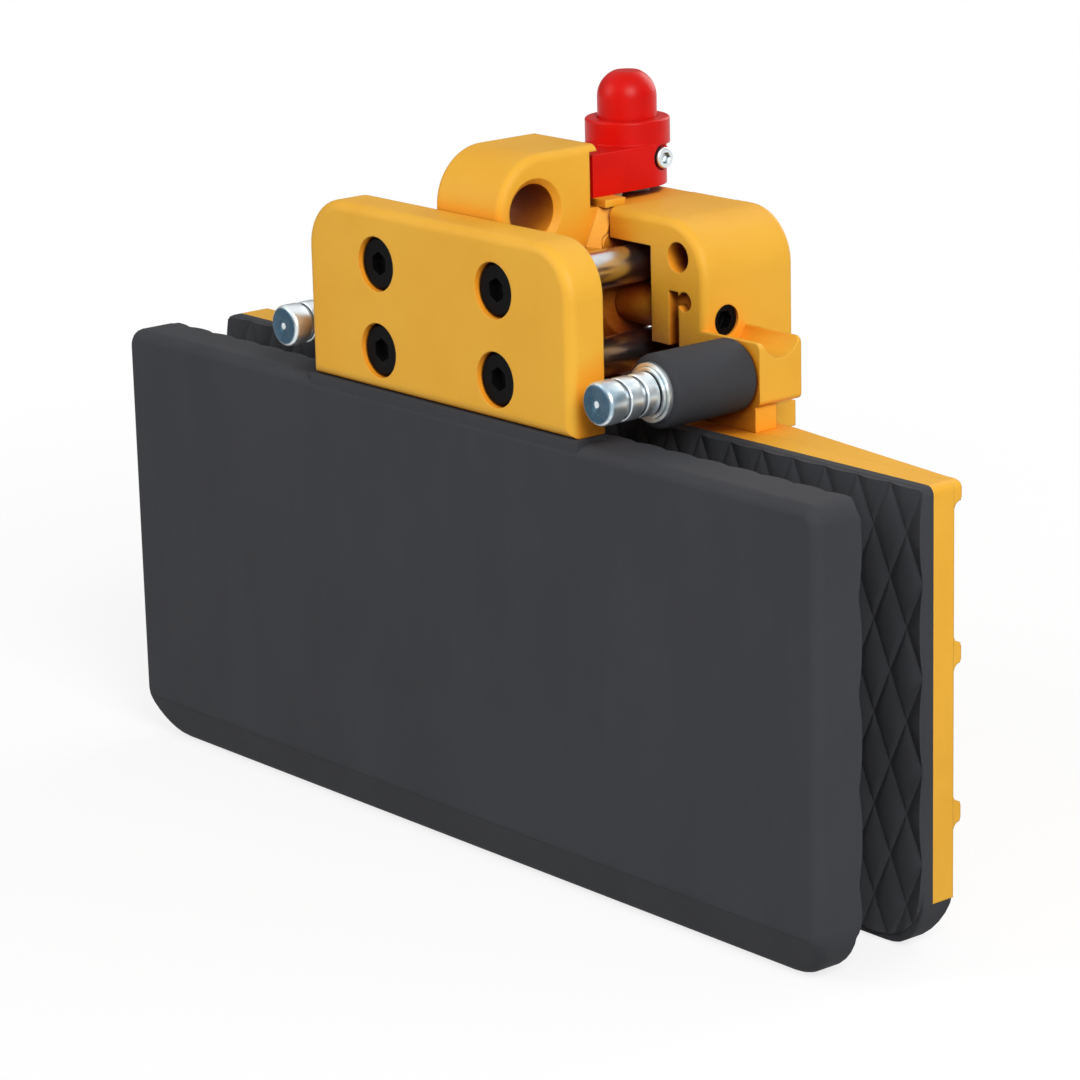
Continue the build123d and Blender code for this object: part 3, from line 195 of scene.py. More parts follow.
class PaintSettings(bpy.types.PropertyGroup):
    """Colours of the paint and the lacquer."""

    yellow: colour("Yellow", "Powder coat", (0.79, 0.415, 0.040))
    yellow_deep: colour("Deep yellow", "Powder coat where it lies thick", (0.755, 0.375, 0.030))
    # The edge colour is partly the thinner coat over edges and partly a painted highlight
    yellow_thin_edge_highlight: colour("Yellow edge", "Powder coat where it thins over an edge", (0.88, 0.50, 0.085))
    yellow_soil: colour("Soil", "Grime in the powder coat", (0.33, 0.17, 0.04))
    yellow_shade: colour("Shade", "Powder coat lit by the powder coat opposite", (0.84, 0.285, 0.012))
    # Recess colour is painted shade: the coat turns dark red-brown deep in recesses and between parts
    yellow_recess_shade: colour("Recess", "Powder coat and grease in the recesses", (0.13, 0.010, 0.0005))
    shade_reach: length("Shade reach", "How far off the powder coat opposite may be", 0.05)
    recess_reach: length("Recess reach", "How far the walls of a recess lie apart", 0.10)
    coat_soften: length("Softened coat edge", "Rounding of powder-coated edges", 0.0011)
    lacquer_soften: length("Softened lacquer edge", "Rounding of lacquered edges", 0.0008)
    red: colour("Red", "Lacquer of the lock", (0.62, 0.0045, 0.0015))
    red_deep: colour("Deep red", "Lacquer in its darker patches", (0.56, 0.0030, 0.0010))
    red_edge: colour("Red edge", "Lacquer where it thins over an edge", (0.68, 0.030, 0.018))


class StudioSettings(bpy.types.PropertyGroup):
    """Camera, floor and world light."""

    lens: FloatProperty(name="Lens", description="Focal length", default=135.97, unit="CAMERA")
    sensor: FloatProperty(
        name="Sensor", description="Width of the camera's sensor", default=36.0, unit="CAMERA"
    )
    camera_place: FloatVectorProperty(
        name="Camera place", description="Where the camera stands", default=(1.4264, -1.20195, 0.6552),
        subtype="TRANSLATION", unit="LENGTH",
    )
    camera_way: FloatVectorProperty(
        name="Camera direction", description="Which way the camera looks", default=(-0.7399, 0.6174, -0.2671),
        subtype="DIRECTION",
    )
    camera_roll: FloatProperty(
        name="Camera roll", description="Turn about the view", default=math.radians(1.41), unit="ROTATION"
    )
    floor_size: length("Floor size", "Width of the floor", 14.0)
    floor: colour("Floor", "Floor as the camera sees it", (0.97, 0.97, 0.97))
    floor_bounce: colour("Floor bounce", "Floor as it lights the clamp", (0.40, 0.40, 0.40))
    floor_glow: FloatProperty(
        name="Floor glow", description="Share of plain white that the camera sees by the clamp", default=0.78
    )
    floor_near: length("Near floor", "Distance at which the floor starts to turn plain white", 0.35)
    floor_far: length("Far floor", "Distance at which the floor is plain white", 1.1)
    world_light: FloatProperty(
        name="World light", description="Strength of the light from all round", default=0.30
    )
    wall_shade: FloatProperty(
        name="Wall shade", description="How much darker than its ceiling reflections show the room's walls",
        default=0.75,
    )


class ClampSettings(bpy.types.PropertyGroup):
    """All settings of the clamp."""

    rubber: PointerProperty(type=RubberSettings)
    plated: PointerProperty(type=PlatedSettings)
    paint: PointerProperty(type=PaintSettings)
    studio: PointerProperty(type=StudioSettings)


# Shader expressions

def socket_of(sockets, key):
    """Socket by its place, identifier or name."""
    if isinstance(key, int):
        return sockets[key]
    for socket in sockets:
        if socket.identifier == key:
            return socket
    return sockets[key]


class Field:
    """Output socket of a material, with arithmetic that adds Math nodes."""

    def __init__(self, finish, socket):
        self.finish = finish
        self.socket = socket

    def _math(self, operation, first, second):
        return self.finish.node("ShaderNodeMath", {0: first, 1: second}, operation=operation)

    def __add__(self, other):
        return self._math("ADD", self, other)

    def __radd__(self, other):
        return self._math("ADD", other, self)

    def __sub__(self, other):
        return self._math("SUBTRACT", self, other)

    def __rsub__(self, other):
        return self._math("SUBTRACT", other, self)

    def __mul__(self, other):
        return self._math("MULTIPLY", self, other)

    def __rmul__(self, other):
        return self._math("MULTIPLY", other, self)


class Finish:
    """Material or world in the making: one method adds any node, the others are shorthand for it."""

    def __init__(self, name, library="materials", output="ShaderNodeOutputMaterial"):
        self.owner = getattr(bpy.data, library).new(name)
        self.owner.use_nodes = True
        self.output = output
        self.tree = self.owner.node_tree
        self.tree.nodes.clear()

    def node(self, kind, values=None, output=0, **settings):
        """Add a node, with its settings first and then the values or links of its sockets."""
        made = self.tree.nodes.new(kind)
        for key, value in settings.items():
            setattr(made, key, value)
        for key, value in (values or {}).items():
            socket = socket_of(made.inputs, key)
            if isinstance(value, Field):
                self.tree.links.new(value.socket, socket)
            else:
                socket.default_value = value
        return Field(self, socket_of(made.outputs, output)) if made.outputs else None

    def place(self, scale=(1.0, 1.0, 1.0)):
        """Object coordinates, stretched by a scale."""
        here = self.node("ShaderNodeTexCoord", output="Object")
        return self.node("ShaderNodeMapping", {"Vector": here, "Scale": scale})

    def noise(self, scale, detail=2.0, roughness=0.5, where=None):
        """Cloudy pattern from 0 to 1, with so many blotches to the metre."""
        values = {"Vector": where or self.place(), "Scale": scale, "Detail": detail, "Roughness": roughness}
        return self.node("ShaderNodeTexNoise", values, "Fac")

    def band(self, value, low, high):
        """Smooth step from 0 at low to 1 at high."""
        values = {"Value": value, "From Min": low, "From Max": high}
        return self.node("ShaderNodeMapRange", values, "Result", interpolation_type="SMOOTHSTEP")

    def mix(self, share, first, second):
        """Colour between the first and the second."""
        values = {"Factor_Float": share, "A_Color": rgba(first), "B_Color": rgba(second)}
        return self.node("ShaderNodeMix", values, "Result_Color", data_type="RGBA")

    def soft_edge(self, radius):
        """Normal with its edges rounded over a radius."""
        return self.node("ShaderNodeBevel", {"Radius": radius}, "Normal", samples=EDGE_RAYS)

    def edge_mask(self, rounded, flat=0.01, sharp=0.22):
        """1 on an edge and 0 on a flat, from how far a rounded normal turns away."""
        true = self.node("ShaderNodeNewGeometry", output="Normal")
        same = self.node("ShaderNodeVectorMath", {0: rounded, 1: true}, "Value", operation="DOT_PRODUCT")
        return self.band(1.0 - same, flat, sharp)

    def closed(self, reach):
        """Share of the view outwards that a neighbour or a recess takes within a reach."""
        return 1.0 - self.node("ShaderNodeAmbientOcclusion", {"Distance": reach}, "AO", samples=RECESS_RAYS)

    def bump(self, height, distance, strength, normal=None):
        """Normal raised by a height from 0 to 1."""
        values = {"Height": height, "Distance": distance, "Strength": strength}
        if normal:
            values["Normal"] = normal
        return self.node("ShaderNodeBump", values, "Normal")

    def surface(self, values):
        """Principled surface from its socket values. Returns the finished material."""
        return self.close(self.node("ShaderNodeBsdfPrincipled", values, "BSDF"))

    def close(self, shader):
        """Link a shader to the output. Returns the finished material or world."""
        self.node(self.output, {"Surface": shader})
        return self.owner

    def seen(self):
        """1 where the camera looks and 1 where a reflection or a see-through piece looks, as two fields."""
        camera = self.node("ShaderNodeLightPath", output="Is Camera Ray")
        mirrored = self.node("ShaderNodeLightPath", output="Is Glossy Ray")
        through = self.node("ShaderNodeLightPath", output="Is Transmission Ray")
        return camera, self.node("ShaderNodeMath", {0: mirrored, 1: through}, operation="MAXIMUM")


def rgba(tone):
    """Colour with its alpha, or the field it already is."""
    if isinstance(tone, Field):
        return tone
    return (*tone[:3], 1.0)


# Finishes

def powder_coat(paint):
    """Satin yellow powder coat: orange peel, thick and thin patches, dirt, edges paler from a thinner coat
    and a painted highlight, painted warm shade near other parts and painted dark shade in recesses.
    """
    coat = Finish("Yellow powder coat")
    rounded = coat.soft_edge(paint.coat_soften)
    edges = coat.edge_mask(rounded)
    cloud = coat.noise(16.0, detail=4.0, roughness=0.55)
    peel = coat.noise(520.0, detail=2.0, roughness=0.45)
    grain = coat.noise(2100.0, detail=1.0)
    specks = coat.band(coat.noise(310.0, detail=5.0, roughness=0.7), 0.66, 0.78)
    soil = coat.band(coat.noise(7.0, detail=6.0, roughness=0.62), 0.52, 0.80)
    tone = coat.mix(coat.band(cloud, 0.3, 0.7), paint.yellow, paint.yellow_deep)
    # Paler edges: partly the thinner coat, partly a painted highlight
    tone = coat.mix(edges * 0.55, tone, paint.yellow_thin_edge_highlight)
    tone = coat.mix(soil * 0.10 + specks * 0.10, tone, paint.yellow_soil)
    # Painted shade: warm orange where other parts stand close, for light bounced between yellow faces, and
    # dark red-brown deep in recesses
    shade = coat.band(coat.closed(paint.shade_reach), 0.24, 0.52)
    tone = coat.mix(shade * 0.85, tone, paint.yellow_shade)
    recess = coat.band(coat.closed(paint.recess_reach), 0.66, 0.86)
    tone = coat.mix(recess * 0.95, tone, paint.yellow_recess_shade)
    height = peel * 0.75 + grain * 0.25
    return coat.surface({
        "Base Color": tone,
        "Roughness": 0.42 + cloud * 0.10 + soil * 0.12 + peel * 0.06,
        "Normal": coat.bump(height, distance=0.00025, strength=0.16, normal=rounded),
        "Specular IOR Level": 0.2,
    })


def moulded_rubber(rubber):
    """Matt black rubber: fine mould grain, cloudy bloom and a little dust."""
    skin = Finish("Moulded rubber")
    cloud = skin.noise(13.0, detail=5.0, roughness=0.6)
    streak = skin.noise(38.0, detail=4.0, roughness=0.6, where=skin.place((1.0, 1.0, 0.22)))
    grain = skin.noise(3200.0, detail=2.0, roughness=0.6)
    pits = skin.noise(900.0, detail=3.0, roughness=0.6)
    specks = skin.noise(120.0, detail=6.0, roughness=0.7)
    dust = skin.band(specks, 0.55, 0.75) * skin.band(cloud, 0.45, 0.7)
    tone = skin.mix(skin.band(cloud * 0.6 + streak * 0.4, 0.35, 0.65), rubber.dark, rubber.pale)
    tone = skin.mix(dust * 0.12, tone, rubber.dust)
    height = grain * 0.55 + pits * 0.45
    return skin.surface({
        "Base Color": tone,
        "Roughness": 0.72 + cloud * 0.12 + dust * 0.10 + grain * 0.06,
        "Normal": skin.bump(height, distance=0.00022, strength=0.30),
        "Specular IOR Level": 0.20,
    })


def red_lacquer(paint):
    """Red lacquer: a slow ripple, darker patches, fine scuffs and thin edges."""
    coat = Finish("Red lacquer")
    rounded = coat.soft_edge(paint.lacquer_soften)
    edges = coat.edge_mask(rounded)
    cloud = coat.noise(60.0, detail=3.0, roughness=0.5)
    ripple = coat.noise(330.0, detail=2.0, roughness=0.4)
    streaks = coat.noise(420.0, detail=4.0, roughness=0.7, where=coat.place((1.0, 1.0, 0.2)))
    scuffs = coat.band(streaks, 0.62, 0.74)
    tone = coat.mix(coat.band(cloud, 0.3, 0.7), paint.red, paint.red_deep)
    tone = coat.mix(edges * 0.45 + scuffs * 0.06, tone, paint.red_edge)
    return coat.surface({
        "Base Color": tone,
        "Roughness": 0.34 + cloud * 0.08 + scuffs * 0.14,
        "Normal": coat.bump(ripple, distance=0.0002, strength=0.12, normal=rounded),
        "Specular IOR Level": 0.17,
    })


def zinc_plating(plated):
    """Bright zinc plating: turning rings, bluish and yellowed film, painted shade in grooves and sockets, and
    the bars' dull sawn ends.
    """
    metal = Finish("Zinc plating")
    cloud = metal.noise(70.0, detail=4.0, roughness=0.6)
    film = metal.noise(46.0, detail=3.0, roughness=0.55, where=metal.place((1.0, 0.5, 1.0)))
    spangle = metal.noise(900.0, detail=3.0, roughness=0.6)
    rings = metal.noise(40.0, detail=3.0, roughness=0.7, where=metal.place((0.6, 60.0, 0.6)))
    tone = metal.mix(metal.band(film, 0.54, 0.66), plated.zinc, plated.zinc_blue)
    yellowed = metal.band(cloud * 0.8 + spangle * 0.2, 0.48, 0.68)
    tone = metal.mix(yellowed * 0.5, tone, plated.zinc_cream)
    # Painted shade: the plating darkens where grooves, sockets and neighbouring parts close in round it
    painted_crevice_shade = metal.band(metal.closed(plated.crevice_shade_reach), 0.25, 0.65)
    tone = metal.mix(painted_crevice_shade * 0.85, tone, plated.painted_crevice_shade)
    bar_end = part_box("right_stop_bar")[0][1]
    along = metal.node("ShaderNodeSeparateXYZ", {"Vector": metal.place()}, "Y")
    sawn = 1.0 - metal.band(along, bar_end + plated.sawn_start, bar_end + plated.sawn_end)
    smears = metal.band(film * 0.6 + spangle * 0.4, 0.46, 0.60)
    cut = metal.mix(smears * 0.1, plated.cut_end, plated.zinc_blue)
    rounded = metal.soft_edge(plated.zinc_soften)
    return metal.surface({
        "Base Color": metal.mix(sawn, tone, cut),
        "Metallic": 0.92,
        "Roughness": 0.22 + cloud * 0.14 + rings * 0.10 + sawn * 0.12,
        "Normal": metal.bump(rings * 0.7 + spangle * 0.3, distance=0.00012, strength=0.22, normal=rounded),
    })


def ground_steel(plated):
    """Ground shaft: bright, with faint grinding rings, duller patches and hair scratches."""
    metal = Finish("Ground steel")
    cloud = metal.noise(45.0, detail=3.0, roughness=0.5)
    rings = metal.noise(30.0, detail=3.0, roughness=0.7, where=metal.place((0.5, 110.0, 0.5)))
    hairs = metal.noise(60.0, detail=4.0, roughness=0.7, where=metal.place((40.0, 0.6, 40.0)))
    rounded = metal.soft_edge(plated.steel_soften)
    dull = metal.mix(metal.band(cloud, 0.35, 0.7), plated.ground, plated.machined)
    return metal.surface({
        "Base Color": metal.mix(hairs * 0.25, dull, plated.ground),
        "Metallic": 1.0,
        "Roughness": 0.17 + cloud * 0.08 + rings * 0.06,
        "Normal": metal.bump(rings * 0.6 + hairs * 0.4, distance=0.00008, strength=0.10, normal=rounded),
    })


def machined_steel(plated):
    """Turned or milled steel with tool marks and a thin film of oil."""
    metal = Finish("Machined steel")
    rounded = metal.soft_edge(plated.steel_soften)
    edges = metal.edge_mask(rounded)
    cloud = metal.noise(50.0, detail=4.0, roughness=0.6)
    marks = metal.noise(26.0, detail=4.0, roughness=0.7, where=metal.place((2.0, 60.0, 60.0)))
    oiled = [0.8 * part for part in plated.machined]
    tone = metal.mix(metal.band(cloud, 0.3, 0.7), plated.machined, oiled)
    tone = metal.mix(edges * 0.5, tone, plated.ground)
    return metal.surface({
        "Base Color": tone,
        "Metallic": 1.0,
        "Roughness": 0.28 + cloud * 0.14 + marks * 0.10,
        "Normal": metal.bump(marks, distance=0.0001, strength=0.22, normal=rounded),
    })


def black_oxide(plated):
    """Blackened screws: dark satin steel, rubbed paler on its edges."""
    metal = Finish("Black oxide")
    rounded = metal.soft_edge(plated.oxide_soften)
    edges = metal.edge_mask(rounded)
    cloud = metal.noise(140.0, detail=4.0, roughness=0.6)
    grain = metal.noise(1500.0, detail=2.0, roughness=0.5)
    tone = metal.mix(edges * 0.8, plated.oxide, plated.oxide_worn)
    tone = metal.mix(metal.band(cloud, 0.45, 0.75) * 0.4, tone, plated.oxide_worn)
    return metal.surface({
        "Base Color": tone,
        "Roughness": 0.42 + cloud * 0.18,
        "Normal": metal.bump(grain, distance=0.0001, strength=0.2, normal=rounded),
        "Specular IOR Level": 0.05,
    })


def bearing_bronze(plated):
    """Turned bronze bushes with fine rings and darker stains."""
    metal = Finish("Bearing bronze")
    cloud = metal.noise(90.0, detail=4.0, roughness=0.6)
    rings = metal.noise(35.0, detail=3.0, roughness=0.7, where=metal.place((60.0, 60.0, 2.0)))
    rounded = metal.soft_edge(plated.bronze_soften)
    stained = [0.55 * part for part in plated.bronze]
    tone = metal.mix(metal.band(cloud, 0.4, 0.75), plated.bronze, stained)
    return metal.surface({
        "Base Color": tone,
        "Metallic": 1.0,
        "Roughness": 0.30 + cloud * 0.16 + rings * 0.08,
        "Normal": metal.bump(rings, distance=0.0001, strength=0.2, normal=rounded),
    })


# Shared steps

def settings():
    """The clamp's settings in the open scene."""
    return bpy.context.scene.slab_clamp


def made_once(name, maker, values):
    """Material by name, made the first time it is asked for."""
    return bpy.data.materials.get(name) or maker(values)


def dress_slot(slot, material):
    """Give a material to every CAD node of a material slot."""
    nodes = [part["node"] for part in frame["record"]["subparts"] if part["material_slot"] == slot]
    if not nodes:
        raise RuntimeError(f"no node has the slot {slot}")
    for node in nodes:
        mesh = frame["nodes"][node].data
        mesh.materials.clear()
        mesh.materials.append(material)


def place_piece(bm, name, node, body, material):
    """Turn a bmesh into a piece that stands for a CAD node and rides on its body."""
    mesh = bpy.data.meshes.new(name)
    bm.to_mesh(mesh)
    bm.free()
    mesh.materials.append(material)
    piece = bpy.data.objects.new(name, mesh)
    bpy.context.collection.objects.link(piece)
    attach(piece, body)
    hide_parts(node)
    return piece


def round_edges(bm, edges, radius, segments):
    """Round edges of a bmesh."""
    bmesh.ops.bevel(
        bm, geom=edges, offset=radius, offset_type="OFFSET", segments=segments, profile=0.5,
        affect="EDGES", material=-1,
    )


def round_corners(bm, corners, radius, segments):
    """Round corners of an outline."""
    bmesh.ops.bevel(
        bm, geom=corners, offset=radius, offset_type="OFFSET", segments=segments, profile=0.5,
        affect="VERTICES", material=-1, clamp_overlap=True,
    )


def split(bm, point, normal, clear_outer):
    """Split a bmesh at a plane, and drop what lies beyond it where asked."""
    bmesh.ops.bisect_plane(
        bm, geom=bm.verts[:] + bm.edges[:] + bm.faces[:], dist=TINY / 10, plane_co=point, plane_no=normal,
        clear_outer=clear_outer,
    )


def boundary(bm):
    """Edges with a face on one side only."""
    return [edge for edge in bm.edges if edge.is_boundary]


def cut_away(bm, point, normal):
    """Cut off what lies beyond a plane and close the cut."""
    split(bm, point, normal, True)
    bmesh.ops.holes_fill(bm, edges=boundary(bm), sides=0)


def drawn_verts(result):
    """Vertices that an extrusion made."""
    return [part for part in result["geom"] if isinstance(part, bmesh.types.BMVert)]


def edges_at(bm, axis, value):
    """Edges that lie whole on a level of one axis."""
    return [edge for edge in bm.edges if all(abs(vert.co[axis] - value) < TINY for vert in edge.verts)]


def smooth_by_angle(bm, degrees):
    """Shade faces smooth, but keep edges sharper than an angle."""
    limit = math.radians(degrees)
    for face in bm.faces:
        face.smooth = True
    for edge in bm.edges:
        edge.smooth = len(edge.link_faces) == 2 and edge.calc_face_angle(0.0) < limit


def flatten_shading(piece):
    """Let the large flat faces set the normals, so that the rounded edges carry the whole bend."""
    weigh = piece.modifiers.new("Flat faces", "WEIGHTED_NORMAL")
    weigh.mode = "FACE_AREA"
    weigh.weight = FLAT_FACE_WEIGHT
    weigh.keep_sharp = True


# Rubber

def jaw_outline(bm, rubber, corner, low, high, depth):
    """Outline of a jaw at a depth, as one face with rounded corners."""
    places = ((low.x, low.z), (high.x, low.z), (high.x, high.z), (low.x, high.z))
    corners = [bm.verts.new((x, depth, z)) for x, z in places]
    bm.faces.new(corners)
    round_corners(bm, corners[:2], rubber.lower_corner, LOWER_CORNER_STEPS)
    round_corners(bm, corners[2:], corner, UPPER_CORNER_STEPS)


def jaw_slab(rubber, corner, low, high, start, end):
    """Closed slab with a jaw's outline between two depths."""
    bm = bmesh.new()
    jaw_outline(bm, rubber, corner, low, high, start)
    swept = bmesh.ops.extrude_face_region(bm, geom=bm.faces[:])
    bmesh.ops.translate(bm, verts=drawn_verts(swept), vec=(0.0, end - start, 0.0))
    bmesh.ops.recalc_face_normals(bm, faces=bm.faces[:])
    return bm


def slope_foot(bm, rubber, face, way):
    """Cut the slope at a jaw's outer foot, in planes that round the break below the upright face."""
    lean = math.atan2(rubber.foot_chamfer_depth, rubber.foot_chamfer_height)
    radius = rubber.foot_break
    start = rubber.foot_chamfer_height + radius * math.tan(lean / 2)
    for step in range(FOOT_BREAK_STEPS):
        turn = lean * ((step + 1) / FOOT_BREAK_STEPS)
        point = (0.0, face - way * radius * (1.0 - math.cos(turn)), start - radius * math.sin(turn))
        cut_away(bm, point, (0.0, way * math.cos(turn), -math.sin(turn)))


def rim_edges(bm, way):
    """Edges round the faces that look along Y by the way's sign."""
    return [
        edge for edge in bm.edges
        if sum(face.normal.y * way > LOOKS_ALONG for face in edge.link_faces) == 1
    ]


def cut_to_outline(bm, outline, centre):
    """Cut a flat bmesh to a convex outline, seen along Y."""
    for edge in outline.edges:
        middle = (edge.verts[0].co + edge.verts[1].co) / 2
        along = edge.verts[1].co - edge.verts[0].co
        across = Vector((along.z, 0.0, -along.x))
        if across.dot(middle - centre) < 0.0:
            across = -across
        split(bm, middle, across, True)


def lozenge_tread(rubber, corner, low, high, grip, way):
    """Tread of raised lozenges, whose tops reach the grip depth and face along Y by the way's sign."""
    edge_low = low + Vector((rubber.tread_margin, 0.0, rubber.grip_foot_ease + rubber.tread_margin))
    edge_high = high - Vector((rubber.tread_margin, 0.0, rubber.tread_margin))
    reach = (rubber.lozenge_columns + rubber.lozenge_rows) // 2 + 1
    half_width = (high.x - low.x) / rubber.lozenge_columns / 2
    half_height = (high.z - low.z) / rubber.lozenge_rows / 2
    tread = bmesh.new()
    bmesh.ops.create_grid(tread, x_segments=2 * reach, y_segments=2 * reach, size=reach)
    lay = Matrix((
        (half_width, half_width, 0.0, (low.x + high.x) / 2),
        (0.0, 0.0, 1.0, grip - way * rubber.groove_depth),
        (half_height, -half_height, 0.0, (low.z + high.z) / 2),
        (0.0, 0.0, 0.0, 1.0),
    ))
    bmesh.ops.transform(tread, matrix=lay, verts=tread.verts[:])
    spare = [
        face for face in tread.faces
        if not low.x - half_width < face.calc_center_median().x < high.x + half_width
        or not low.z - half_height < face.calc_center_median().z < high.z + half_height
    ]
    bmesh.ops.delete(tread, geom=spare, context="FACES")
    bmesh.ops.recalc_face_normals(tread, faces=tread.faces[:])
    if tread.faces[:][0].normal.y * way < 0.0:
        bmesh.ops.reverse_faces(tread, faces=tread.faces[:])
    lozenges = tread.faces[:]
    bmesh.ops.inset_individual(
        tread, faces=lozenges, thickness=rubber.groove_slope, depth=rubber.groove_depth, use_even_offset=True
    )
    tops = {edge for face in lozenges for edge in face.edges}
    round_edges(tread, list(tops), rubber.lozenge_round, SMALL_EDGE_STEPS)
    outline = bmesh.new()
    jaw_outline(outline, rubber, corner, edge_low, edge_high, grip)
    cut_to_outline(tread, outline, (edge_low + edge_high) / 2)
    outline.free()
    skirt = bmesh.ops.extrude_edge_only(tread, edges=boundary(tread))
    for vert in drawn_verts(skirt):
        vert.co.y = grip - way * (rubber.groove_depth + 2 * rubber.tread_bed)
    bmesh.ops.holes_fill(tread, edges=boundary(tread), sides=0)
    bmesh.ops.recalc_face_normals(tread, faces=tread.faces[:])
    smooth_by_angle(tread, TREAD_CREASE)
    return tread


def add_shell(bm, other):
    """Add the shells of another bmesh."""
    shell = bpy.data.meshes.new("shell")
    other.to_mesh(shell)
    other.free()
    bm.from_mesh(shell)
    bpy.data.meshes.remove(shell)


def rubber_material():
    """The rubber of the jaws and the sleeves."""
    return made_once("Moulded rubber", moulded_rubber, settings().rubber)


class MouldFrontCover(bpy.types.Operator):
    """Mould the rubber cover of the front jaw, with its lip and its lozenge tread."""

    bl_idname = "slab_clamp.mould_front_cover"
    bl_label = "Mould front cover"

    def execute(self, context):
        rubber = settings().rubber
        low, high = (Vector(corner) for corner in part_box("front_jaw_cover"))
        high.z -= rubber.lip_height
        body_grip = high.y - rubber.groove_depth - rubber.tread_bed
        cover = jaw_slab(rubber, rubber.front_corner, low, high, body_grip, low.y)
        slope_foot(cover, rubber, low.y, -1)
        cut_away(cover, (0.0, high.y, rubber.grip_foot_ease), (0.0, 1.0, -1.0))
        round_edges(cover, rim_edges(cover, -1), rubber.outer_edge, OUTER_EDGE_STEPS)
        round_edges(cover, rim_edges(cover, 1), rubber.grip_edge, GRIP_EDGE_STEPS)
        plate_low, plate_high = (Vector(corner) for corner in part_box("front_jaw_plate"))
        lip = bmesh.new()
        bmesh.ops.create_cube(lip, size=1.0)
        lip_rise = rubber.outer_edge + rubber.lip_height
        lip_depth = plate_high.y - plate_low.y - 2 * rubber.lip_inset
        bmesh.ops.scale(lip, vec=(rubber.lip_length, lip_depth, lip_rise), verts=lip.verts[:])
        round_edges(lip, lip.edges[:], rubber.lip_edge, SMALL_EDGE_STEPS)
        lip_middle = (0.0, (plate_low.y + plate_high.y) / 2, high.z + rubber.lip_height - lip_rise / 2)
        bmesh.ops.translate(lip, verts=lip.verts[:], vec=lip_middle)
        add_shell(cover, lip)
        smooth_by_angle(cover, RUBBER_CREASE)
        add_shell(cover, lozenge_tread(rubber, rubber.front_corner, low, high, high.y, 1))
        material = rubber_material()
        piece = place_piece(cover, "front_cover", "front_jaw_cover", "front_jaw", material)
        flatten_shading(piece)
        return {"FINISHED"}


class MouldRearPad(bpy.types.Operator):
    """Mould the rubber pad of the rear jaw, wrapped under its plate, with its lozenge tread."""

    bl_idname = "slab_clamp.mould_rear_pad"
    bl_label = "Mould rear pad"

    def execute(self, context):
        rubber = settings().rubber
        low, high = (Vector(corner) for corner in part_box("rear_jaw_pad"))
        plate_low = Vector(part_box("rear_jaw_plate")[0])
        body_grip = low.y + rubber.groove_depth + rubber.tread_bed
        pad = jaw_slab(rubber, rubber.rear_corner, low, high, body_grip, plate_low.y)
        split(pad, (0.0, 0.0, plate_low.z), (0.0, 0.0, 1.0), False)
        foot = [
            face for face in pad.faces
            if face.normal.y > SQUARE_ALONG and face.calc_center_median().z < plate_low.z
        ]
        wrapped = bmesh.ops.extrude_face_region(pad, geom=foot)
        bmesh.ops.translate(pad, verts=drawn_verts(wrapped), vec=(0.0, high.y - plate_low.y, 0.0))
        bmesh.ops.delete(pad, geom=foot, context="FACES_ONLY")
        slope_foot(pad, rubber, high.y, 1)
        cut_away(pad, (0.0, low.y, rubber.grip_foot_ease), (0.0, -1.0, -1.0))
        behind = [
            edge for edge in rim_edges(pad, 1) if all(vert.co.y > plate_low.y + TINY for vert in edge.verts)
        ]
        round_edges(pad, behind, rubber.foot_edge, GRIP_EDGE_STEPS)
        round_edges(pad, rim_edges(pad, -1), rubber.grip_edge, GRIP_EDGE_STEPS)
        smooth_by_angle(pad, RUBBER_CREASE)
        add_shell(pad, lozenge_tread(rubber, rubber.rear_corner, low, high, low.y, -1))
        material = rubber_material()
        piece = place_piece(pad, "rear_pad", "rear_jaw_pad", "carriage", material)
        flatten_shading(piece)
        return {"FINISHED"}


# Turned and wound pieces

def turned_shell(profile, rounded, radius, centre, closed):
    """Turn a profile of (radius, depth) points about a line along Y. Rounded points lose their corner."""
    bm = bmesh.new()
    points = [bm.verts.new((r, depth, 0.0)) for r, depth in profile]
    bm.faces.new(points)
    round_corners(bm, [points[index] for index in rounded], radius, BAND_STEPS)
    bmesh.ops.delete(bm, geom=bm.faces[:], context="FACES_ONLY")
    if not closed:
        bmesh.ops.delete(bm, geom=edges_at(bm, 0, 0.0), context="EDGES")
    bmesh.ops.spin(
        bm, geom=bm.verts[:] + bm.edges[:], cent=(0.0, 0.0, 0.0), axis=(0.0, 1.0, 0.0),
        angle=2 * math.pi, steps=TURN_STEPS, use_merge=True,
    )
    bmesh.ops.remove_doubles(bm, verts=bm.verts[:], dist=TINY)
    bmesh.ops.recalc_face_normals(bm, faces=bm.faces[:])
    bmesh.ops.translate(bm, verts=bm.verts[:], vec=(centre.x, 0.0, centre.z))
    return bm


class MouldStopSleeves(bpy.types.Operator):
    """Mould the rubber sleeves on the stop bars."""

    bl_idname = "slab_clamp.mould_stop_sleeves"
    bl_label = "Mould stop sleeves"

    def execute(self, context):
        rubber = settings().rubber
        for side in SIDES:
            node = f"{side}_stop_sleeve"
            low, high = (Vector(corner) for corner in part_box(node))
            bar_low, bar_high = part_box(f"{side}_stop_bar")
            outer = (high.x - low.x) / 2
            bore = (bar_high[0] - bar_low[0]) / 2
            relief = bore + rubber.sleeve_hollow
            profile = (
                (relief, low.y), (outer, low.y), (outer, high.y), (relief, high.y),
                (bore, high.y - 2 * rubber.sleeve_hollow), (bore, low.y + 2 * rubber.sleeve_hollow),
            )
            sleeve = turned_shell(profile, (1, 2), rubber.sleeve_edge, (low + high) / 2, True)
            smooth_by_angle(sleeve, RUBBER_CREASE)
            place_piece(sleeve, f"{side}_sleeve", node, "carriage", rubber_material())
        return {"FINISHED"}


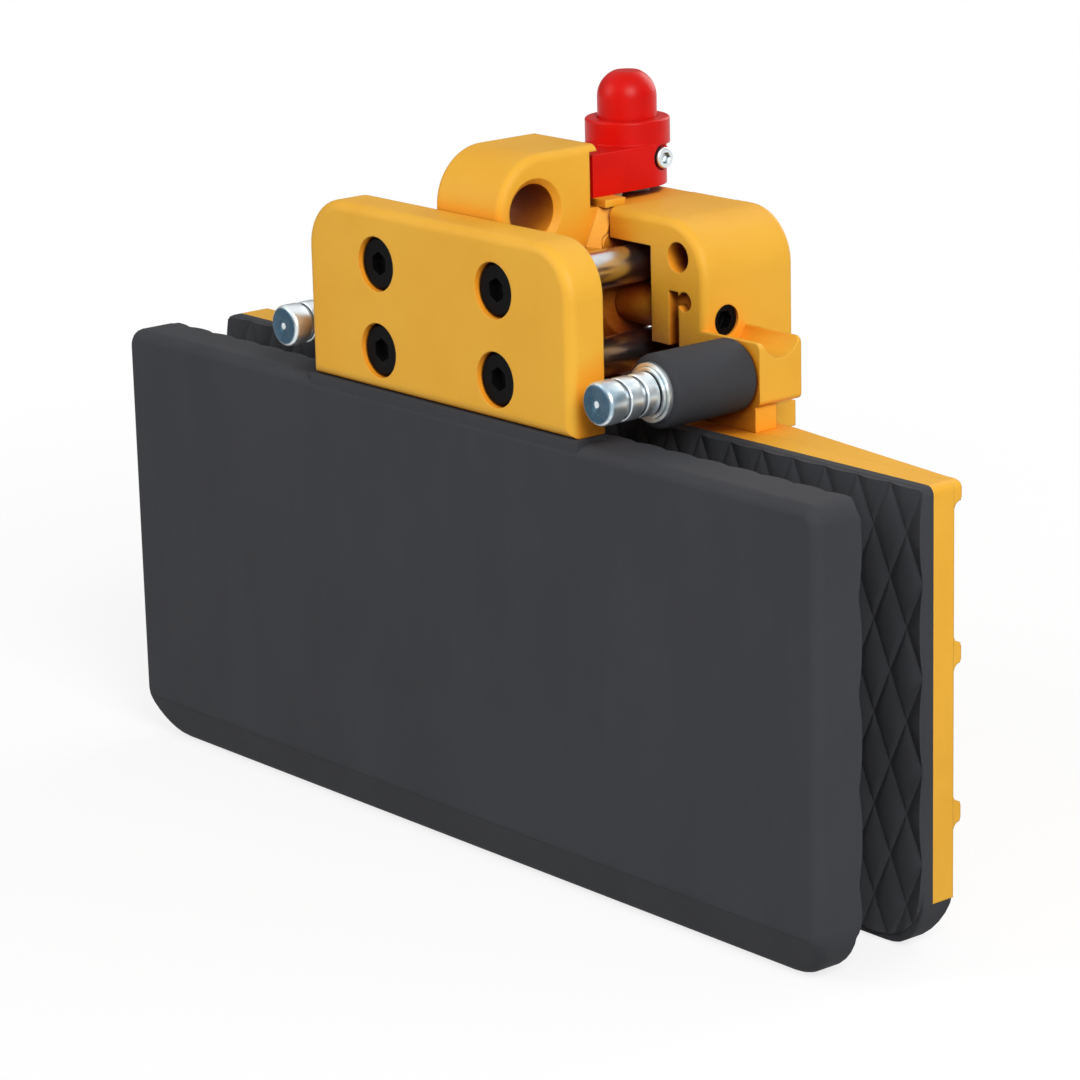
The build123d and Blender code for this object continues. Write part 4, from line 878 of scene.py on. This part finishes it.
class TurnStopBars(bpy.types.Operator):
    """Turn the grooved stop bars, with a turning centre in their ends."""

    bl_idname = "slab_clamp.turn_stop_bars"
    bl_label = "Turn stop bars"

    def execute(self, context):
        plated = settings().plated
        material = made_once("Zinc plating", zinc_plating, plated)
        for side in SIDES:
            node = f"{side}_stop_bar"
            low, high = (Vector(corner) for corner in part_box(node))
            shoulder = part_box("carriage")[0][1]
            outer = (high.x - low.x) / 2
            inner = outer - plated.groove_depth
            profile = [
                (0.0, low.y + plated.centre_depth),
                (plated.centre_radius, low.y),
                (outer - plated.end_chamfer, low.y),
                (outer, low.y + plated.end_chamfer),
            ]
            rounded = [2, 3]
            for groove in range(plated.groove_count):
                start = low.y + plated.groove_first + groove * plated.groove_pitch
                end = start + plated.groove_width
                rounded += [len(profile), len(profile) + 3]
                profile += [(outer, start), (inner, start), (inner, end), (outer, end)]
            spigot = plated.spigot_radius
            profile += [(outer, shoulder), (spigot, shoulder), (spigot, high.y), (0.0, high.y)]
            bar = turned_shell(profile, rounded, plated.band_round, (low + high) / 2, False)
            smooth_by_angle(bar, BAR_CREASE)
            place_piece(bar, f"{side}_grooved_bar", node, "carriage", material)
        return {"FINISHED"}


class WindLockSpring(bpy.types.Operator):
    """Wind the spring under the lock's plunger."""

    bl_idname = "slab_clamp.wind_lock_spring"
    bl_label = "Wind lock spring"

    def execute(self, context):
        plated = settings().plated
        low, high = (Vector(corner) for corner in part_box("lock_spring"))
        foot = Vector(((low.x + high.x) / 2, (low.y + high.y) / 2, low.z))
        wire = plated.spring_wire / 2
        steps = COIL_STEPS * plated.spring_turns
        spring = bmesh.new()
        bmesh.ops.create_circle(spring, cap_ends=False, segments=WIRE_SIDES, radius=wire)
        bmesh.ops.rotate(spring, verts=spring.verts[:], matrix=Matrix.Rotation(math.pi / 2, 3, "X"))
        start = foot + Vector(((high.x - low.x) / 2 - wire, 0.0, wire))
        bmesh.ops.translate(spring, verts=spring.verts[:], vec=start)
        bmesh.ops.spin(
            spring, geom=spring.verts[:] + spring.edges[:], cent=foot, axis=(0.0, 0.0, 1.0), steps=steps,
            angle=2 * math.pi * plated.spring_turns, dvec=(0.0, 0.0, (high.z - low.z - 2 * wire) / steps),
        )
        bmesh.ops.holes_fill(spring, edges=boundary(spring), sides=0)
        bmesh.ops.recalc_face_normals(spring, faces=spring.faces[:])
        smooth_by_angle(spring, WIRE_CREASE)
        steel = made_once("Machined steel", machined_steel, plated)
        piece = place_piece(spring, "wound_lock_spring", "lock_spring", "lever", steel)
        joints = frame["record"]["behaviour"]["joints"]
        press = next(joint for joint in joints if joint["name"] == "knob_press")
        keep = 1.0 - press["range_m"][1] / (high.z - low.z)
        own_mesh(piece)
        return {"FINISHED"}


# Finishes of the pieces that keep their CAD shape

class CoatPaintedFrame(bpy.types.Operator):
    """Coat the bolting plate, the rear frame, the carriage, the tie plates and the lever yellow."""

    bl_idname = "slab_clamp.coat_painted_frame"
    bl_label = "Coat painted frame"

    def execute(self, context):
        dress_slot("yellow_paint", made_once("Yellow powder coat", powder_coat, settings().paint))
        return {"FINISHED"}


class LacquerLock(bpy.types.Operator):
    """Lacquer the lock's housing, screw caps and knob red."""

    bl_idname = "slab_clamp.lacquer_lock"
    bl_label = "Lacquer lock"

    def execute(self, context):
        dress_slot("red_lacquer", made_once("Red lacquer", red_lacquer, settings().paint))
        return {"FINISHED"}


class PlateSmallParts(bpy.types.Operator):
    """Plate the washers, the rings, the spacers and the lock's bolt and nut with zinc."""

    bl_idname = "slab_clamp.plate_small_parts"
    bl_label = "Plate small parts"

    def execute(self, context):
        dress_slot("zinc_plate", made_once("Zinc plating", zinc_plating, settings().plated))
        return {"FINISHED"}


class GrindShafts(bpy.types.Operator):
    """Grind the guide shafts."""

    bl_idname = "slab_clamp.grind_shafts"
    bl_label = "Grind shafts"

    def execute(self, context):
        dress_slot("shaft_steel", made_once("Ground steel", ground_steel, settings().plated))
        return {"FINISHED"}


class BlackenScrews(bpy.types.Operator):
    """Blacken the screws and the plugs."""

    bl_idname = "slab_clamp.blacken_screws"
    bl_label = "Blacken screws"

    def execute(self, context):
        dress_slot("black_oxide", made_once("Black oxide", black_oxide, settings().plated))
        return {"FINISHED"}


class FinishLinkage(bpy.types.Operator):
    """Finish the bare steel of the linkage and the lock, and the bronze of the bushes."""

    bl_idname = "slab_clamp.finish_linkage"
    bl_label = "Finish linkage"

    def execute(self, context):
        dress_slot("plain_steel", made_once("Machined steel", machined_steel, settings().plated))
        dress_slot("bush_bronze", made_once("Bearing bronze", bearing_bronze, settings().plated))
        return {"FINISHED"}


# Studio

def floor_material(studio):
    """Pale floor that keeps the clamp's shadow, whiter where the camera or a reflection sees it."""
    floor = Finish("Studio floor")
    camera, mirrored = floor.seen()
    seen = camera + mirrored
    tone = floor.mix(seen, studio.floor_bounce, studio.floor)
    matt = floor.node("ShaderNodeBsdfDiffuse", {"Color": tone}, "BSDF")
    white = floor.node("ShaderNodeEmission", {"Color": WHITE, "Strength": 1.0}, "Emission")
    distance = floor.node("ShaderNodeVectorMath", {0: floor.place()}, "Value", operation="LENGTH")
    away = floor.band(distance, studio.floor_near, studio.floor_far)
    glow = studio.floor_glow + (1.0 - studio.floor_glow) * away
    return floor.close(floor.node("ShaderNodeMixShader", {0: seen * glow, 1: matt, 2: white}, "Shader"))


def studio_world(studio):
    """World with even light, white to the camera, with a white ceiling and grey walls in reflections."""
    world = Finish("Studio world", "worlds", "ShaderNodeOutputWorld")
    camera, mirrored = world.seen()
    height = world.node("ShaderNodeSeparateXYZ", {"Vector": world.place()}, "Z")
    room = 1.0 - studio.wall_shade * (1.0 - world.band(height, WALL_TOP, CEILING))
    level = camera + (1.0 - camera) * (mirrored * room + (1.0 - mirrored) * studio.world_light)
    sky = world.node("ShaderNodeBackground", {"Color": WHITE, "Strength": level}, "Background")
    bpy.context.scene.world = world.close(sky)


def soft_lamp(name, place, size, power):
    """Square area lamp that shines from a place at the clamp."""
    light = bpy.data.lights.new(name, "AREA")
    light.shape = "SQUARE"
    light.size = size
    light.energy = power
    lamp = bpy.data.objects.new(name, light)
    lamp.location = place
    lamp.rotation_euler = (Vector(LAMP_TARGET) - Vector(place)).to_track_quat("-Z", "Y").to_euler()
    bpy.context.collection.objects.link(lamp)


def photo_camera(studio):
    """Camera at the photograph's viewing angle."""
    lens = bpy.data.cameras.new("Camera")
    lens.lens = studio.lens
    lens.sensor_width = studio.sensor
    lens.clip_end = CAMERA_REACH
    camera = bpy.data.objects.new("Camera", lens)
    ahead = Vector(studio.camera_way).normalized()
    right = Vector((ahead.y, -ahead.x, 0.0)).normalized()
    up = right.cross(ahead)
    turn, lift = math.cos(studio.camera_roll), math.sin(studio.camera_roll)
    axes = (right * turn - up * lift, right * lift + up * turn, -ahead)
    pose = Matrix(axes).transposed().to_4x4()
    pose.translation = Vector(studio.camera_place)
    camera.matrix_world = pose
    bpy.context.collection.objects.link(camera)
    bpy.context.scene.camera = camera


class SetStudio(bpy.types.Operator):
    """Set up the floor, the lamps, the world and the camera."""

    bl_idname = "slab_clamp.set_studio"
    bl_label = "Set studio"

    def execute(self, context):
        studio = settings().studio
        ground = bmesh.new()
        bmesh.ops.create_grid(ground, x_segments=1, y_segments=1, size=studio.floor_size / 2)
        mesh = bpy.data.meshes.new("floor")
        ground.to_mesh(mesh)
        ground.free()
        mesh.materials.append(floor_material(studio))
        floor = bpy.data.objects.new("floor", mesh)
        context.collection.objects.link(floor)
        studio_world(studio)
        for name, (place, size, power) in LAMPS.items():
            soft_lamp(name, place, size, power)
        photo_camera(studio)
        context.scene.view_settings.view_transform = "Standard"
        return {"FINISHED"}


# Panel and registration

class ClampPanel(bpy.types.Panel):
    """Lists the steps that dress the clamp."""

    bl_idname = "VIEW3D_PT_slab_clamp"
    bl_label = "Slab clamp"
    bl_space_type = "VIEW_3D"
    bl_region_type = "UI"
    bl_category = "Slab clamp"

    def draw(self, context):
        for step in STEPS:
            self.layout.operator(step.bl_idname)


STEPS = (
    CoatPaintedFrame, LacquerLock, PlateSmallParts, GrindShafts, BlackenScrews, FinishLinkage,
    MouldFrontCover, MouldRearPad, MouldStopSleeves, TurnStopBars, WindLockSpring, SetStudio,
)
CLASSES = (RubberSettings, PlatedSettings, PaintSettings, StudioSettings, ClampSettings, *STEPS, ClampPanel)


def register():
    """Register the classes and hang the settings on the scene."""
    for kind in CLASSES:
        bpy.utils.register_class(kind)
    bpy.types.Scene.slab_clamp = PointerProperty(type=ClampSettings)


def unregister():
    """Take the settings and the classes away again."""
    del bpy.types.Scene.slab_clamp
    for kind in reversed(CLASSES):
        bpy.utils.unregister_class(kind)


def main():
    """Dress the clamp."""
    register()
    steps = bpy.ops.slab_clamp
    steps.coat_painted_frame()
    steps.lacquer_lock()
    steps.plate_small_parts()
    steps.grind_shafts()
    steps.blacken_screws()
    steps.finish_linkage()
    steps.mould_front_cover()
    steps.mould_rear_pad()
    steps.mould_stop_sleeves()
    steps.turn_stop_bars()
    steps.wind_lock_spring()
    steps.set_studio()


if __name__ == "__main__":
    main()
